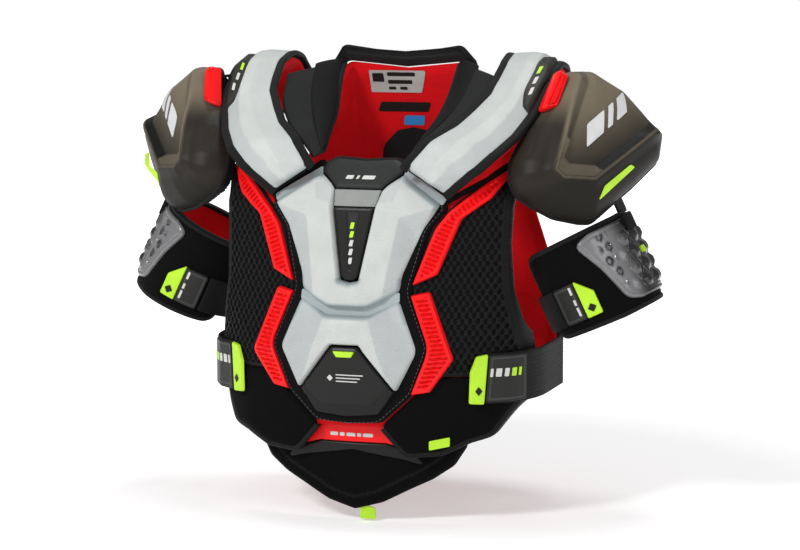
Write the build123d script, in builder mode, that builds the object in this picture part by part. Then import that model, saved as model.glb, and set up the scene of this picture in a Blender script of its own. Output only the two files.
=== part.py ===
from build123d import *
import os
from math import asin, cos, degrees, radians, sin, tan

# Senior hockey shoulder pads: padded chest and back joined by two shoulder arches, with hung
# shoulder caps, upper-arm guards, elastic side straps and a sliding belly extension.
# Millimetres. +X is the wearer's left, the chest faces -Y, +Z is up. The origin lies on the
# wearer's shoulder line, midway between the arches.

# Front panel: horizontal sections made of one flat arc across the chest and a tighter arc at
# each side, given as (height, middle of the chest, widest point, flat arc's radius, its half angle).
chest_sections = [
    (-60.0, -38.0, 165.0, 450.0, 16.0),
    (-110.0, -82.0, 172.0, 450.0, 16.0),
    (-130.0, -95.0, 172.0, 420.0, 17.0),
    (-200.0, -109.0, 172.0, 320.0, 20.0),
    (-266.0, -124.0, 164.0, 280.0, 22.0),
    (-310.0, -119.0, 161.6, 280.0, 22.0),
    (-380.0, -119.0, 161.6, 280.0, 22.0),
]
liner_thickness = 7.7
skin_thickness = 4.0
plate_thickness = 13.7
rib_thickness = 5.7
badge_thickness = 9.7
patch_thickness = 7.7
layer_gap = 0.3
trim_thickness = 0.9

# Back panel: shallow cone sections about an axis far in front of the wearer.
back_axis_y = -400.0
back_sections = [(30.0, 458.0), (20.0, 464.0), (-20.0, 483.0), (-66.0, 497.0), (-130.0, 517.0),
                 (-200.0, 527.0), (-350.0, 527.0)]
back_guard_thickness = 7.7
collar_wall = 15.0

# Shoulder arches: a section along the shoulder, swept across it with a slight fall outwards.
arch_start_x = 40.0
arch_span = 150.0
arch_fall_deg = 8.0
arch_section_x = 130.0
arch_section = [(-82, -150), (-86, -125), (-91, -98), (-82, -76), (-52, -50), (-17, -17), (14, 5),
                (40, 13), (64, 8), (82, -12), (90, -42), (90, -150)]
arch_ridge_y = 40.0
arch_shell_thickness = 4.0
arch_liner_thickness = 10.7
arch_back_z = -62.0
label_thickness = 1.7

# Shoulder caps
cap_origin = (206.0, -9.0, -76.5)
cap_turn_deg = 41.0
cap_tilt_deg = 18.0
cap_depth = 34.0
cap_wall = 4.0
cap_foam_thickness = 8.0
cap_outline = [(-14, 79), (14, 79), (29, 69), (46, 58), (75, 22), (84, 12), (76, -14), (46, -37),
               (27, -50), (-5, -72), (-18, -71), (-44, -65), (-67, -52), (-81, -41), (-85, -26),
               (-81, -8), (-62, 20), (-34, 48)]

# Lifting axis of the cap and the arm guard, along the outer edge of the arch
shoulder_pivot_z = -8.0
shoulder_pin_radius = 2.2
pivot_gap = 0.4
webbing_thickness = 3.0

# Upper-arm guards
arm_origin = (205.5, 17.0, -196.0)
arm_tilt_deg = 26.0
arm_inner_radius = 46.0
arm_pad_thickness = 10.0
arm_shell_thickness = 4.7
arm_pad_top = 38.0
arm_pad_bottom = -50.0
arm_opening_half_deg = 35.0
arm_strap_thickness = 2.4
arm_strap_height = 38.0

# Side straps
side_strap_height = 50.0
side_strap_top = -267.0
side_strap_thickness = 3.0
side_strap_gap = 0.8
side_strap_standoff = 3.6

# Belly extension
extension_thickness = 12.0
extension_setback = 14.3

reach = 260.0
front_plane = Plane.XZ.offset(-60)
back_plane = Plane(origin=(0, 20, 0), x_dir=(-1, 0, 0), z_dir=(0, 1, 0))


def both_sides(half):
    """Close an outline given for the left half by its mirror image."""
    return half + [(-x, z) for x, z in reversed(half) if x > 0]


def chest_arcs(middle_y, widest_x, flat_radius, half_angle):
    """Centre of the flat arc, centre of the side arc and radius of the side arc."""
    turn = sin(radians(half_angle))
    side_radius = (widest_x - flat_radius * turn) / (1 - turn)
    flat_centre_y = middle_y + flat_radius
    spread = flat_radius - side_radius
    side_centre = (spread * turn, flat_centre_y - spread * cos(radians(half_angle)))
    return flat_centre_y, side_centre, side_radius


def chest_ring(plane, shape, inner, outer):
    """One horizontal section of a chest layer between two offsets from the form."""
    _, _, flat_radius, half = shape
    flat_centre_y, (side_x, side_y), side_radius = chest_arcs(*shape)
    with BuildSketch(plane) as ring:
        with BuildLine():
            for grow in (outer, inner):
                CenterArc((-side_x, side_y), side_radius + grow, 180, 90 - half)
                CenterArc((0, flat_centre_y), flat_radius + grow, 270 - half, 2 * half)
                CenterArc((side_x, side_y), side_radius + grow, 270 + half, 90 - half)
            for edge in (1, -1):
                Line((edge * (side_x + side_radius + inner), side_y),
                     (edge * (side_x + side_radius + outer), side_y))
        make_face()
    return ring


def front_layer(inner, outer):
    """Chest layer between two offsets from the form, over the whole height."""
    with BuildPart() as layer:
        for height, *shape in chest_sections:
            add(chest_ring(Plane.XY.offset(height), shape, inner, outer).sketch)
        loft(ruled=True)
    return layer.part


def back_layer(inner, outer):
    """Back layer between two offsets from the form."""
    profile = [(radius + outer, height) for height, radius in back_sections]
    profile += [(radius + inner, height) for height, radius in reversed(back_sections)]
    with BuildPart() as layer:
        with BuildSketch(Plane(origin=(0, back_axis_y, 0), x_dir=(0, 1, 0), z_dir=(1, 0, 0))):
            Polygon(*profile, align=None)
        revolve(axis=Axis((0, back_axis_y, 0), (0, 0, 1)), revolution_arc=40)
    return layer.part.rotate(Axis((0, back_axis_y, 0), (0, 0, 1)), -20)


arch_fall = radians(arch_fall_deg)
arch_plane = Plane(
    origin=(arch_start_x, 0, (arch_section_x - arch_start_x) * tan(arch_fall)),
    x_dir=(0, 1, 0),
    z_dir=(cos(arch_fall), 0, -sin(arch_fall)),
)


def arch_form(depth):
    """Filled section of the arch at a depth below its outer surface."""
    with BuildSketch() as form:
        Polygon(*arch_section, align=None)
        if depth:
            offset(amount=-depth, kind=Kind.INTERSECTION, mode=Mode.REPLACE)
    return form.sketch


def arch_layer(inner, outer):
    """Arch layer between two depths below the outer surface; negative depths stand proud."""
    with BuildPart() as layer:
        with BuildSketch(arch_plane):
            add(arch_form(outer))
            add(arch_form(inner), mode=Mode.SUBTRACT)
        extrude(amount=arch_span)
    return layer.part


def arch_front_y(x, z):
    """Where the arch's outer surface lies at a place on its front slope."""
    level = z + (x - arch_section_x) * tan(arch_fall)
    for (low_y, low_z), (high_y, high_z) in zip(arch_section[1:7], arch_section[2:8]):
        if level <= high_z:
            return low_y + (high_y - low_y) * (level - low_z) / (high_z - low_z)
    return arch_ridge_y


def save(piece, name):
    """Label one finished piece and write it."""
    piece.label = name
    export_step(piece, f"parts/{name}.step")


def save_pair(piece, name):
    """Write a piece of the wearer's left side and its mirror image on the right."""
    save(piece, name + "_left")
    save(mirror(piece, about=Plane.YZ), name + "_right")


os.makedirs("parts", exist_ok=True)
skin = front_layer(-skin_thickness, 0)
liner_outer = -skin_thickness - layer_gap
liner = front_layer(liner_outer - liner_thickness, liner_outer)

# Chest liner: red foam and mesh lining behind the whole front
armhole = [(101, -119), (121, -103), (136, -90), (147, -86), (149, -99), (145, -122), (143, -165),
           (145, -208), (152, -243), (158, -268)]
lower_edge = [(158, -312), (147, -326), (133, -348), (115, -353), (90, -365), (57, -368), (34, -342),
              (0, -342)]
groove_edge = [(41, -98), (84, -125)]
with BuildPart() as chest_liner:
    with BuildSketch(front_plane):
        Polygon(*both_sides([(0, -88), (30, -86), (39, -90)] + groove_edge + armhole[1:] + lower_edge),
                align=None)
    extrude(amount=reach)
    add(liner, mode=Mode.INTERSECT)
save(chest_liner.part, "chest_liner")

# Chest core: black contour panel that carries the white plates and shows as their border
core_side = [(91, -129), (74, -150), (60, -206), (61, -214), (81, -263), (64, -308), (34, -336),
             (0, -338)]
with BuildPart() as chest_core:
    with BuildSketch(front_plane):
        Polygon(*both_sides([(0, -88), (30, -86), (39, -90)] + groove_edge + core_side), align=None)
    extrude(amount=reach)
    add(skin, mode=Mode.INTERSECT)
save(chest_core.part, "chest_core")

# Mesh wings: spacer-mesh side panels from the contour panel to the armhole
wing_inner = [(91.6, -129.6), (74.6, -150.4), (60.6, -206), (61.6, -213.8), (81.6, -263),
              (71, -290)]
with BuildPart() as mesh_wing:
    with BuildSketch(front_plane):
        Polygon(*(wing_inner + [(156, -290), (158, -268)] + armhole[-2:0:-1]), align=None)
    extrude(amount=reach)
    add(skin, mode=Mode.INTERSECT)
save_pair(mesh_wing.part, "mesh_wing")

# Loop panels: black loop-pile fabric below the mesh, which the side straps stick to
with BuildPart() as loop_panel:
    with BuildSketch(front_plane):
        Polygon((71.4, -290.6), (65, -308.4), (35, -337.2), *lower_edge[-2:0:-1], (158, -312),
                (156, -290.6), align=None)
    extrude(amount=reach)
    add(skin, mode=Mode.INTERSECT)
save_pair(loop_panel.part, "loop_panel")

# White sternum plates, split by the flex groove at the waist
plates = front_layer(layer_gap, layer_gap + plate_thickness)
upper_half = [(9.5, -199), (21.7, -130), (24.6, -113.5), (29, -108.5), (42.5, -99), (84, -125.5),
              (70, -148), (51, -194), (50, -209), (21, -224)]
with BuildPart() as sternum_upper:
    with BuildSketch(front_plane):
        Polygon((0, -201), *upper_half, (0, -224), *[(-x, z) for x, z in reversed(upper_half)],
                align=None)
    extrude(amount=reach)
    add(plates, mode=Mode.INTERSECT)
save(sternum_upper.part, "sternum_upper")

lower_half = [(14.5, -260), (48, -303), (50, -303), (70, -265), (52, -221), (49, -217), (22, -232)]
with BuildPart() as sternum_lower:
    with BuildSketch(front_plane):
        Polygon((0, -260), *lower_half, (0, -232), *[(-x, z) for x, z in reversed(lower_half)],
                align=None)
    extrude(amount=reach)
    add(plates, mode=Mode.INTERSECT)
save(sternum_lower.part, "sternum_lower")

# Collar patch: neoprene yoke below the throat
patch_layer = front_layer(layer_gap, layer_gap + patch_thickness)
with BuildPart() as collar_patch:
    with BuildSketch(front_plane):
        Polygon(*both_sides([(0, -86), (30, -84), (40, -88), (41, -98), (28, -107.5), (23.5, -112.5),
                             (0, -112.5)]), align=None)
    extrude(amount=reach)
    add(patch_layer, mode=Mode.INTERSECT)
save(collar_patch.part, "collar_patch")

# Fabric window and long badge set between the upper plates
with BuildPart() as sternum_window:
    with BuildSketch(front_plane):
        Polygon(*both_sides([(0, -113.2), (23.8, -113.2), (21.2, -128.5), (0, -128.5)]), align=None)
    extrude(amount=reach)
    add(patch_layer, mode=Mode.INTERSECT)
save(sternum_window.part, "sternum_window")

badge_layer = front_layer(layer_gap, layer_gap + badge_thickness)
with BuildPart() as sternum_badge:
    with BuildSketch(front_plane):
        Polygon(*both_sides([(0, -129.2), (20.8, -129.2), (9, -195), (5, -198.5), (0, -199)]),
                align=None)
    extrude(amount=reach)
    add(badge_layer, mode=Mode.INTERSECT)
save(sternum_badge.part, "sternum_badge")

# Belly badge and its lime insert
with BuildPart() as belly_badge:
    with BuildSketch(front_plane):
        Polygon(*both_sides([(0, -261.5), (13.5, -261.5), (48, -305), (32, -328), (0, -331)]),
                align=None)
    extrude(amount=reach)
    add(badge_layer, mode=Mode.INTERSECT)
save(belly_badge.part, "belly_badge")

badge_face = layer_gap + badge_thickness + layer_gap
with BuildPart() as belly_badge_tab:
    with BuildSketch(front_plane):
        Polygon(*both_sides([(0, -265.5), (11.5, -265.5), (7.5, -271.5), (0, -271.5)]), align=None)
    extrude(amount=reach)
    add(front_layer(badge_face, badge_face + trim_thickness), mode=Mode.INTERSECT)
save(belly_badge_tab.part, "belly_badge_tab")

# Red ribbed pads along the plates
ribs = front_layer(layer_gap, layer_gap + rib_thickness)
with BuildPart() as rib_pad_upper:
    with BuildSketch(front_plane):
        Polygon((60.5, -203), (84, -192), (104, -139), (129, -120), (147, -92), (140, -93),
                (122, -106), (112, -114), (92, -132), (80, -148), align=None)
    extrude(amount=reach)
    add(ribs, mode=Mode.INTERSECT)
save_pair(rib_pad_upper.part, "rib_pad_upper")

with BuildPart() as rib_pad_lower:
    with BuildSketch(front_plane):
        Polygon((60, -212), (78, -208), (103, -272), (80, -305), (62, -308), (80, -263), align=None)
    extrude(amount=reach)
    add(ribs, mode=Mode.INTERSECT)
save_pair(rib_pad_lower.part, "rib_pad_lower")

# Size tab: small lime tag on the lower edge of the left lobe
with BuildPart() as size_tab:
    with BuildSketch(front_plane):
        Polygon((79, -353), (98, -349), (98, -358), (79, -362), align=None)
    extrude(amount=reach)
    add(front_layer(layer_gap, layer_gap + trim_thickness), mode=Mode.INTERSECT)
save(size_tab.part, "size_tab")

# Belly extension: a flat loop-faced pad that slides down behind the lower edge of the front
extension_shape = chest_sections[-1][1:]
extension_y = extension_shape[0]


def extension_layer(inner, outer):
    """Upright slab behind the front panel's lower edge."""
    with BuildPart() as layer:
        add(chest_ring(Plane.XY.offset(-450), extension_shape, inner, outer).sketch)
        extrude(amount=160)
    return layer.part


extension_half = [(0, -302), (92, -302), (100, -345), (107, -362), (95, -382), (76, -395), (55, -405),
                  (28, -419), (0, -427)]
with BuildPart() as extension_pad:
    with BuildSketch(front_plane):
        Polygon(*both_sides(extension_half), align=None)
    extrude(amount=reach)
    add(extension_layer(-extension_setback - extension_thickness, -extension_setback),
        mode=Mode.INTERSECT)
save(extension_pad.part, "extension_pad")

facing = extension_layer(-extension_setback + layer_gap, -extension_setback + layer_gap + 1.5)
with BuildPart() as extension_red_panel:
    with BuildSketch(front_plane):
        Polygon(*both_sides([(0, -318), (62, -318), (62, -366), (34, -358.5), (0, -358.5)]), align=None)
    extrude(amount=reach)
    add(facing, mode=Mode.INTERSECT)
save(extension_red_panel.part, "extension_red_panel")

with BuildPart() as extension_edge_strip:
    with BuildSketch(front_plane):
        Polygon(*both_sides([(0, -359), (34, -359), (62, -366.5), (72, -380), (50, -374), (0, -366)]),
                align=None)
    extrude(amount=reach)
    add(facing, mode=Mode.INTERSECT)
save(extension_edge_strip.part, "extension_edge_strip")

with BuildPart() as extension_pull_tab:
    with BuildSketch(Plane.XY.offset(-436)):
        with Locations((13, extension_y + extension_setback + extension_thickness / 2 + 0.3)):
            Rectangle(16, 2)
    extrude(amount=10)
save(extension_pull_tab.part, "extension_pull_tab")

# Shoulder arches: white plate over a red foam liner, from the chest groove over the shoulder
arch_inner_edge = [(47, -92), (68, -66), (90, -51), (102, -37), (113, -22), (116, -9), (118, 4)]
arch_outer_edge = [(168, -8), (165, -26), (160, -42), (150, -61), (137, -76), (120, -92), (103, -105),
                   (88, -118)]
arch_back_edge = [(118, 60), (114, -10), (98, -50), (96, arch_back_z), (128, arch_back_z), (150, -40),
                  (166, -12), (168, 60)]
with BuildPart() as arch_cutter:
    with BuildSketch(Plane.XZ.offset(-arch_ridge_y)):
        Polygon(*arch_inner_edge, (118, 60), (168, 60), *arch_outer_edge, align=None)
    extrude(amount=reach)
    with BuildSketch(Plane.XZ.offset(-arch_ridge_y)):
        Polygon(*arch_back_edge, align=None)
    extrude(amount=-reach)

with BuildPart() as shoulder_arch:
    add(arch_layer(arch_shell_thickness, 0))
    add(arch_cutter.part, mode=Mode.INTERSECT)
save_pair(shoulder_arch.part, "shoulder_arch")

arch_liner_top = arch_shell_thickness + layer_gap
with BuildPart() as arch_liner:
    add(arch_layer(arch_liner_top + arch_liner_thickness, arch_liner_top))
    add(arch_cutter.part, mode=Mode.INTERSECT)
save_pair(arch_liner.part, "arch_liner")

# Soft label at the outer end of the arch
with BuildPart() as arch_label:
    with BuildSketch(Plane.XZ.offset(-arch_ridge_y)):
        Polygon((150, -36), (146, -22), (152, 8), (167, 8), (167, -8), (164, -26), (159, -41),
                align=None)
    extrude(amount=reach)
    add(arch_layer(-layer_gap, -layer_gap - label_thickness), mode=Mode.INTERSECT)
save_pair(arch_label.part, "arch_label")

# Collar sides: neoprene panels that fall from the arch's inner edge to the neck rim
collar_rim = [(47, -52, -80), (50, -26, -63), (53, 2, -45), (57, 22, -24), (59, 38, -4), (59, 47, 5)]
collar_hem = [(58, -80), (77, -62), (94, -49), (109, -30), (113, -16), (114, -4)]
collar_thickness = 4.0
collar_seat = 6.5
with BuildPart() as collar_side:
    for (rim, hem) in zip(collar_rim, collar_hem):
        hem_x, hem_z = hem
        depth = arch_front_y(hem_x, hem_z) + arch_shell_thickness + 4
        start = Vector(*rim)
        stop = Vector(hem_x - collar_seat, depth, hem_z)
        across = stop - start
        along = Vector(0.1, 0.75, 0.65)
        with BuildSketch(Plane(origin=start, x_dir=across, z_dir=across.cross(along).cross(across))):
            Rectangle(across.length, collar_thickness, align=(Align.MIN, Align.CENTER))
    loft(ruled=True)
save_pair(collar_side.part, "collar_side")

# Back: red liner, black carrier plate, spine guard and kidney pad
back_side = [(96, arch_back_z - layer_gap), (127, arch_back_z - layer_gap), (115, -84), (117, -110),
             (129, -150), (145, -200), (150, -240), (150, -310), (120, -330), (0, -340)]
with BuildPart() as back_liner:
    with BuildSketch(back_plane):
        Polygon(*both_sides([(0, 0), (60, 6), (76, -6), (94, -46)] + back_side), align=None)
    extrude(amount=reach)
    add(back_layer(liner_outer - liner_thickness, liner_outer), mode=Mode.INTERSECT)
save(back_liner.part, "back_liner")

with BuildPart() as back_plate:
    with BuildSketch(back_plane):
        Polygon(*both_sides([(0, -4), (58, -6), (90, -64), (102, -110), (118, -160), (132, -210),
                             (136, -290), (108, -318), (0, -326)]), align=None)
    extrude(amount=reach)
    add(back_layer(-skin_thickness, 0), mode=Mode.INTERSECT)
save(back_plate.part, "back_plate")

guard_layer = back_layer(layer_gap, layer_gap + back_guard_thickness)
with BuildPart() as spine_guard:
    with BuildSketch(back_plane):
        Polygon(*both_sides([(0, -30), (40, -40), (62, -80), (54, -150), (44, -220), (0, -240)]),
                align=None)
    extrude(amount=reach)
    add(guard_layer, mode=Mode.INTERSECT)
save(spine_guard.part, "spine_guard")

with BuildPart() as kidney_pad:
    with BuildSketch(back_plane):
        Polygon(*both_sides([(0, -248), (50, -232), (104, -240), (112, -290), (96, -308), (0, -314)]),
                align=None)
    extrude(amount=reach)
    add(guard_layer, mode=Mode.INTERSECT)
save(kidney_pad.part, "kidney_pad")

with BuildPart() as back_collar:
    with BuildSketch(back_plane):
        Polygon(*both_sides([(0, 17), (30, 19), (63, 24), (76, 8), (78, -5), (61, 7), (0, 1)]),
                align=None)
    extrude(amount=reach)
    add(back_layer(liner_outer - liner_thickness - 3, liner_outer - liner_thickness - 3 + collar_wall),
        mode=Mode.INTERSECT)
save(back_collar.part, "back_collar")

liner_face = liner_outer - liner_thickness - layer_gap
label_layer = back_layer(liner_face - trim_thickness, liner_face)
with BuildPart() as size_label:
    with BuildSketch(Plane.XZ.offset(-20)):
        Polygon((-41, -3), (20, -3), (13, -26), (-41, -26), align=None)
    extrude(amount=-reach)
    add(label_layer, mode=Mode.INTERSECT)
save(size_label.part, "size_label")

with BuildPart() as back_vent_panel:
    with BuildSketch(back_plane):
        Polygon(*both_sides([(0, -62), (18, -66), (34, -82), (40, -110), (40, -190), (28, -215),
                             (0, -222)]), align=None)
    extrude(amount=reach)
    add(label_layer, mode=Mode.INTERSECT)
save(back_vent_panel.part, "back_vent_panel")

# Shoulder caps: a faceted moulded dome over foam, hung from the outer edge of the arch
turn = radians(cap_turn_deg)
tilt = radians(cap_tilt_deg)
cap_normal = (sin(turn) * cos(tilt), -cos(turn) * cos(tilt), sin(tilt))
cap_plane = Plane(origin=cap_origin, x_dir=(cos(turn), sin(turn), 0), z_dir=cap_normal)
cap_half_width = 85.0
cap_steps = [(0.0, 1.0), (0.5, 0.9), (1.0, 0.6)]


def cap_dome(inset, floor):
    """Faceted dome a given inset inside the cap's outer faces, starting at a given level."""
    shrink = inset / cap_half_width
    slope = (cap_steps[0][1] - cap_steps[1][1]) / (cap_steps[1][0] * cap_depth)
    with BuildPart() as dome:
        for level, scale in cap_steps:
            height = level * cap_depth - inset
            size = scale - shrink
            if level == 0:
                size -= slope * (floor - height)
                height = floor
            with BuildSketch(cap_plane.offset(height)):
                Polygon(*[(u * size, v * size) for u, v in cap_outline], align=None)
        loft(ruled=True)
    return dome.part


arch_outer_x = 168.0
shoulder_pivot_x = arch_outer_x + pivot_gap + shoulder_pin_radius
tongue_back = 14.0
tongue_front = -15.0
tongue_clearance = 2.0
with BuildPart() as cap_shell:
    add(cap_dome(0, 0))
    add(cap_dome(cap_wall, -1), mode=Mode.SUBTRACT)
    with BuildSketch(Plane.XY.offset(shoulder_pivot_z - webbing_thickness / 2 - tongue_clearance)):
        with Locations((arch_outer_x, (tongue_front + tongue_back) / 2)):
            Rectangle(34, tongue_back - tongue_front + 2 * tongue_clearance,
                      align=(Align.MIN, Align.CENTER))
    extrude(amount=webbing_thickness + 2 * tongue_clearance, mode=Mode.SUBTRACT)
save_pair(cap_shell.part, "cap_shell")

with BuildPart() as cap_foam:
    add(cap_dome(cap_wall + layer_gap, 0))
    add(cap_dome(cap_wall + layer_gap + cap_foam_thickness, -1), mode=Mode.SUBTRACT)
    with BuildSketch(Plane.XY.offset(shoulder_pivot_z - webbing_thickness / 2)):
        Polygon((shoulder_pivot_x, tongue_front), (178, tongue_front), (186, -2), (198, 12),
                (198, tongue_back), (shoulder_pivot_x, tongue_back), align=None)
    extrude(amount=webbing_thickness)
    with BuildSketch(Plane.XZ.offset(-tongue_back)):
        with Locations((shoulder_pivot_x, shoulder_pivot_z)):
            Circle(shoulder_pin_radius)
    extrude(amount=tongue_back - tongue_front)
save_pair(cap_foam.part, "cap_foam")

# Emblem and stripe: thin welded films on the cap's face
with BuildPart() as cap_emblem:
    with BuildSketch(cap_plane.offset(cap_depth + layer_gap)):
        Polygon((-38, -24), (-26, -24), (6, 10), (6, 26), align=None)
        Polygon((-12, -26), (0, -26), (32, 8), (32, 24), align=None)
    extrude(amount=trim_thickness)
save_pair(cap_emblem.part, "cap_emblem")

low_edge = [cap_outline[10], cap_outline[11]]
middle_scale = cap_steps[1][1]
facet_corners = [cap_plane.from_local_coords(Vector(u, v, 0)) for u, v in low_edge]
facet_corners.append(cap_plane.from_local_coords(
    Vector(low_edge[0][0] * middle_scale, low_edge[0][1] * middle_scale, cap_depth / 2)))
facet_along = facet_corners[1] - facet_corners[0]
facet_up = facet_corners[2] - facet_corners[0]
facet_plane = Plane(origin=facet_corners[0], x_dir=facet_along, z_dir=facet_along.cross(facet_up) * -1)
with BuildPart() as cap_stripe:
    with BuildSketch(facet_plane.offset(layer_gap)):
        with Locations((facet_along.length / 2, -9)):
            Rectangle(18, 9)
    extrude(amount=trim_thickness)
save_pair(cap_stripe.part, "cap_stripe")

# Cap anchor: glossy red block on the webbing tongue, between the arch and the cap
with BuildPart() as cap_anchor:
    with BuildSketch(Plane.XY.offset(shoulder_pivot_z + shoulder_pin_radius + layer_gap)):
        with Locations((shoulder_pivot_x + 5, -4)):
            Rectangle(7, 20)
    extrude(amount=9, taper=12)
save_pair(cap_anchor.part, "cap_anchor")

# Arm guards: padded sleeve with a hard outer shell, hung on webbing from the arch
arm_tilt = radians(arm_tilt_deg)
arm_plane = Plane(origin=arm_origin, x_dir=(cos(arm_tilt), 0, sin(arm_tilt)),
                  z_dir=(-sin(arm_tilt), 0, cos(arm_tilt)))
arm_pad_radius = arm_inner_radius + arm_pad_thickness


def arm_sector(low, high, inner, outer, start, sweep):
    """Part of a tube about the arm's axis; angles count from the outer side, towards the back."""
    with BuildPart() as sector:
        with BuildSketch(arm_plane.offset(low)):
            with BuildLine():
                CenterArc((0, 0), outer, start, sweep)
                CenterArc((0, 0), inner, start, sweep)
                for turn_deg in (start, start + sweep):
                    direction = Vector(cos(radians(turn_deg)), sin(radians(turn_deg)))
                    Line(direction * inner, direction * outer)
            make_face()
        extrude(amount=high - low)
    return sector.part


half_cover = 180 - arm_opening_half_deg
with BuildPart() as arm_wrap:
    add(arm_sector(arm_pad_bottom, arm_pad_top, arm_inner_radius, arm_pad_radius,
                   -half_cover, 2 * half_cover))
save_pair(arm_wrap.part, "arm_wrap")

shell_inner = arm_pad_radius + layer_gap
with BuildPart() as arm_shell:
    add(arm_sector(arm_pad_bottom + 6, arm_pad_top - 2, shell_inner, shell_inner + arm_shell_thickness,
                   -60, 170))
save_pair(arm_shell.part, "arm_shell")

strap_low = arm_pad_bottom + 8
strap_inner = arm_pad_radius + layer_gap
tab_start_deg = 240
with BuildPart() as arm_strap:
    add(arm_sector(strap_low, strap_low + arm_strap_height, strap_inner,
                   strap_inner + arm_strap_thickness, 112, tab_start_deg - 2 - 112))
save_pair(arm_strap.part, "arm_strap")

with BuildPart() as arm_strap_tab:
    add(arm_sector(strap_low, strap_low + arm_strap_height, strap_inner + 0.3,
                   strap_inner + 0.3 + arm_strap_thickness, tab_start_deg, 58))
save_pair(arm_strap_tab.part, "arm_strap_tab")

# Arm hanger: webbing from the arch's edge to the outer side of the sleeve
hanger_front = 16.0
hanger_width = 36.0
hanger_end = arm_plane.from_local_coords(Vector(arm_inner_radius + 5, 0, arm_pad_top + 0.4))
hanger_start = Vector(shoulder_pivot_x, 0, shoulder_pivot_z)
hanger_run = Vector(hanger_end.X, 0, hanger_end.Z) - hanger_start
with BuildPart() as arm_hanger:
    with BuildSketch(Plane(origin=(hanger_start.X, hanger_front, hanger_start.Z), x_dir=hanger_run,
                           z_dir=(0, 1, 0))):
        Circle(shoulder_pin_radius)
        Rectangle(hanger_run.length, webbing_thickness - 1, align=(Align.MIN, Align.CENTER))
    extrude(amount=hanger_width)
save_pair(arm_hanger.part, "arm_hanger")

# Side straps: wide elastic from the back panel's edge to a hook-and-loop tab on the chest
_, (strap_centre_x, strap_centre_y), strap_form_radius = chest_arcs(*chest_sections[4][1:])
strap_radius = strap_form_radius + side_strap_gap
strap_tip_x = 116.0
strap_back = (150.5, 96.0)
strap_bend_y = 50.0
tip_angle = 270 + degrees(asin((strap_tip_x - strap_centre_x) / strap_radius))
seat_deg = 14.0
lift_angle = tip_angle + 24.0
lift_radius = strap_radius + side_strap_standoff
strap_plane = Plane.XY.offset(side_strap_top - side_strap_height)
with BuildPart() as side_strap:
    with BuildSketch(strap_plane):
        with BuildLine():
            for grow in (0, side_strap_thickness):
                seat = CenterArc((strap_centre_x, strap_centre_y), strap_radius + grow, tip_angle, seat_deg)
                lift = CenterArc((strap_centre_x, strap_centre_y), lift_radius + grow, lift_angle,
                                 360 - lift_angle)
                Polyline(lift @ 1, (strap_centre_x + lift_radius + grow, strap_bend_y),
                         (strap_back[0] + grow, strap_back[1]))
                Line(seat @ 1, lift @ 0)
            Line(strap_back, (strap_back[0] + side_strap_thickness, strap_back[1]))
            tip = Vector(cos(radians(tip_angle)), sin(radians(tip_angle)))
            tip_centre = Vector(strap_centre_x, strap_centre_y)
            Line(tip_centre + tip * strap_radius, tip_centre + tip * (strap_radius + side_strap_thickness))
        make_face()
    extrude(amount=side_strap_height)
save_pair(side_strap.part, "side_strap")
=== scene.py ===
from math import atan2, cos, pi, radians, sin, sqrt, tan

import bpy
import numpy as np
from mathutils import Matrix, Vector
from mathutils.geometry import delaunay_2d_cdt


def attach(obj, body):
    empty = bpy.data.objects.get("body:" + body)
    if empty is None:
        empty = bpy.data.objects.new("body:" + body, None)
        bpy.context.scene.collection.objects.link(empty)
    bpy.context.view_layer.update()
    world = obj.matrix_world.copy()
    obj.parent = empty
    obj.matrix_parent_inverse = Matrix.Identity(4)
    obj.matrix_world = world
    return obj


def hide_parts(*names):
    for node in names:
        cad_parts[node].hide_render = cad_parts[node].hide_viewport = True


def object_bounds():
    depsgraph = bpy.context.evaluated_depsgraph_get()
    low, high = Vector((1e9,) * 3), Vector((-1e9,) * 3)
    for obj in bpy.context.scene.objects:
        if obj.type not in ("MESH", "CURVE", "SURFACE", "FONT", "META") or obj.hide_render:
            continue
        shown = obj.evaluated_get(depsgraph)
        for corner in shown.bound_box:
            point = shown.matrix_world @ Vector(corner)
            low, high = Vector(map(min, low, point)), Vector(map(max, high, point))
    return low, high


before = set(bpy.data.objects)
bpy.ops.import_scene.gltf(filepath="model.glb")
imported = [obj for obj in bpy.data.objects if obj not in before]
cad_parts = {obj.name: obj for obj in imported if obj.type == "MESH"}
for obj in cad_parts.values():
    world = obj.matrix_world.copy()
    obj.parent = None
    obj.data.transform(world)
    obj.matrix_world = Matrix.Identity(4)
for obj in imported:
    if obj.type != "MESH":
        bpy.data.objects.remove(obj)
frame_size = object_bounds()

# Ice hockey shoulder pads. Sizes below are millimetres in the object's own frame: +X is the
# wearer's left, the chest faces -Y and +Z is up. Meshes are built in metres.
MM = 0.001
THINNEST = 0.15  # least thickness of a panel
ROW_SLACK = 0.06  # how far a point of a panel's edge rows may lie from its row
BACK = "back_and_shoulders"
FRONT = "front_panel"

# ---------------------------------------------------------------------------------------------
# The chest panel. A foam-backed front of heat-moulded layers, glued and stitched on one carrier:
# white shell plates, a black contour border, red ribbed pads, spacer mesh and loop-pile fabric.
# ---------------------------------------------------------------------------------------------

# Horizontal sections of the chest: height, middle, widest point, flat arc's radius, half angle.
chest_sections = np.array([
    (-380, -119, 161.6, 280, 22),
    (-310, -119, 161.6, 280, 22),
    (-266, -124, 164, 280, 22),
    (-200, -109, 172, 320, 20),
    (-130, -95, 172, 420, 17),
    (-110, -82, 172, 450, 16),
    (-60, -38, 165, 450, 16),
], float)


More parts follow.
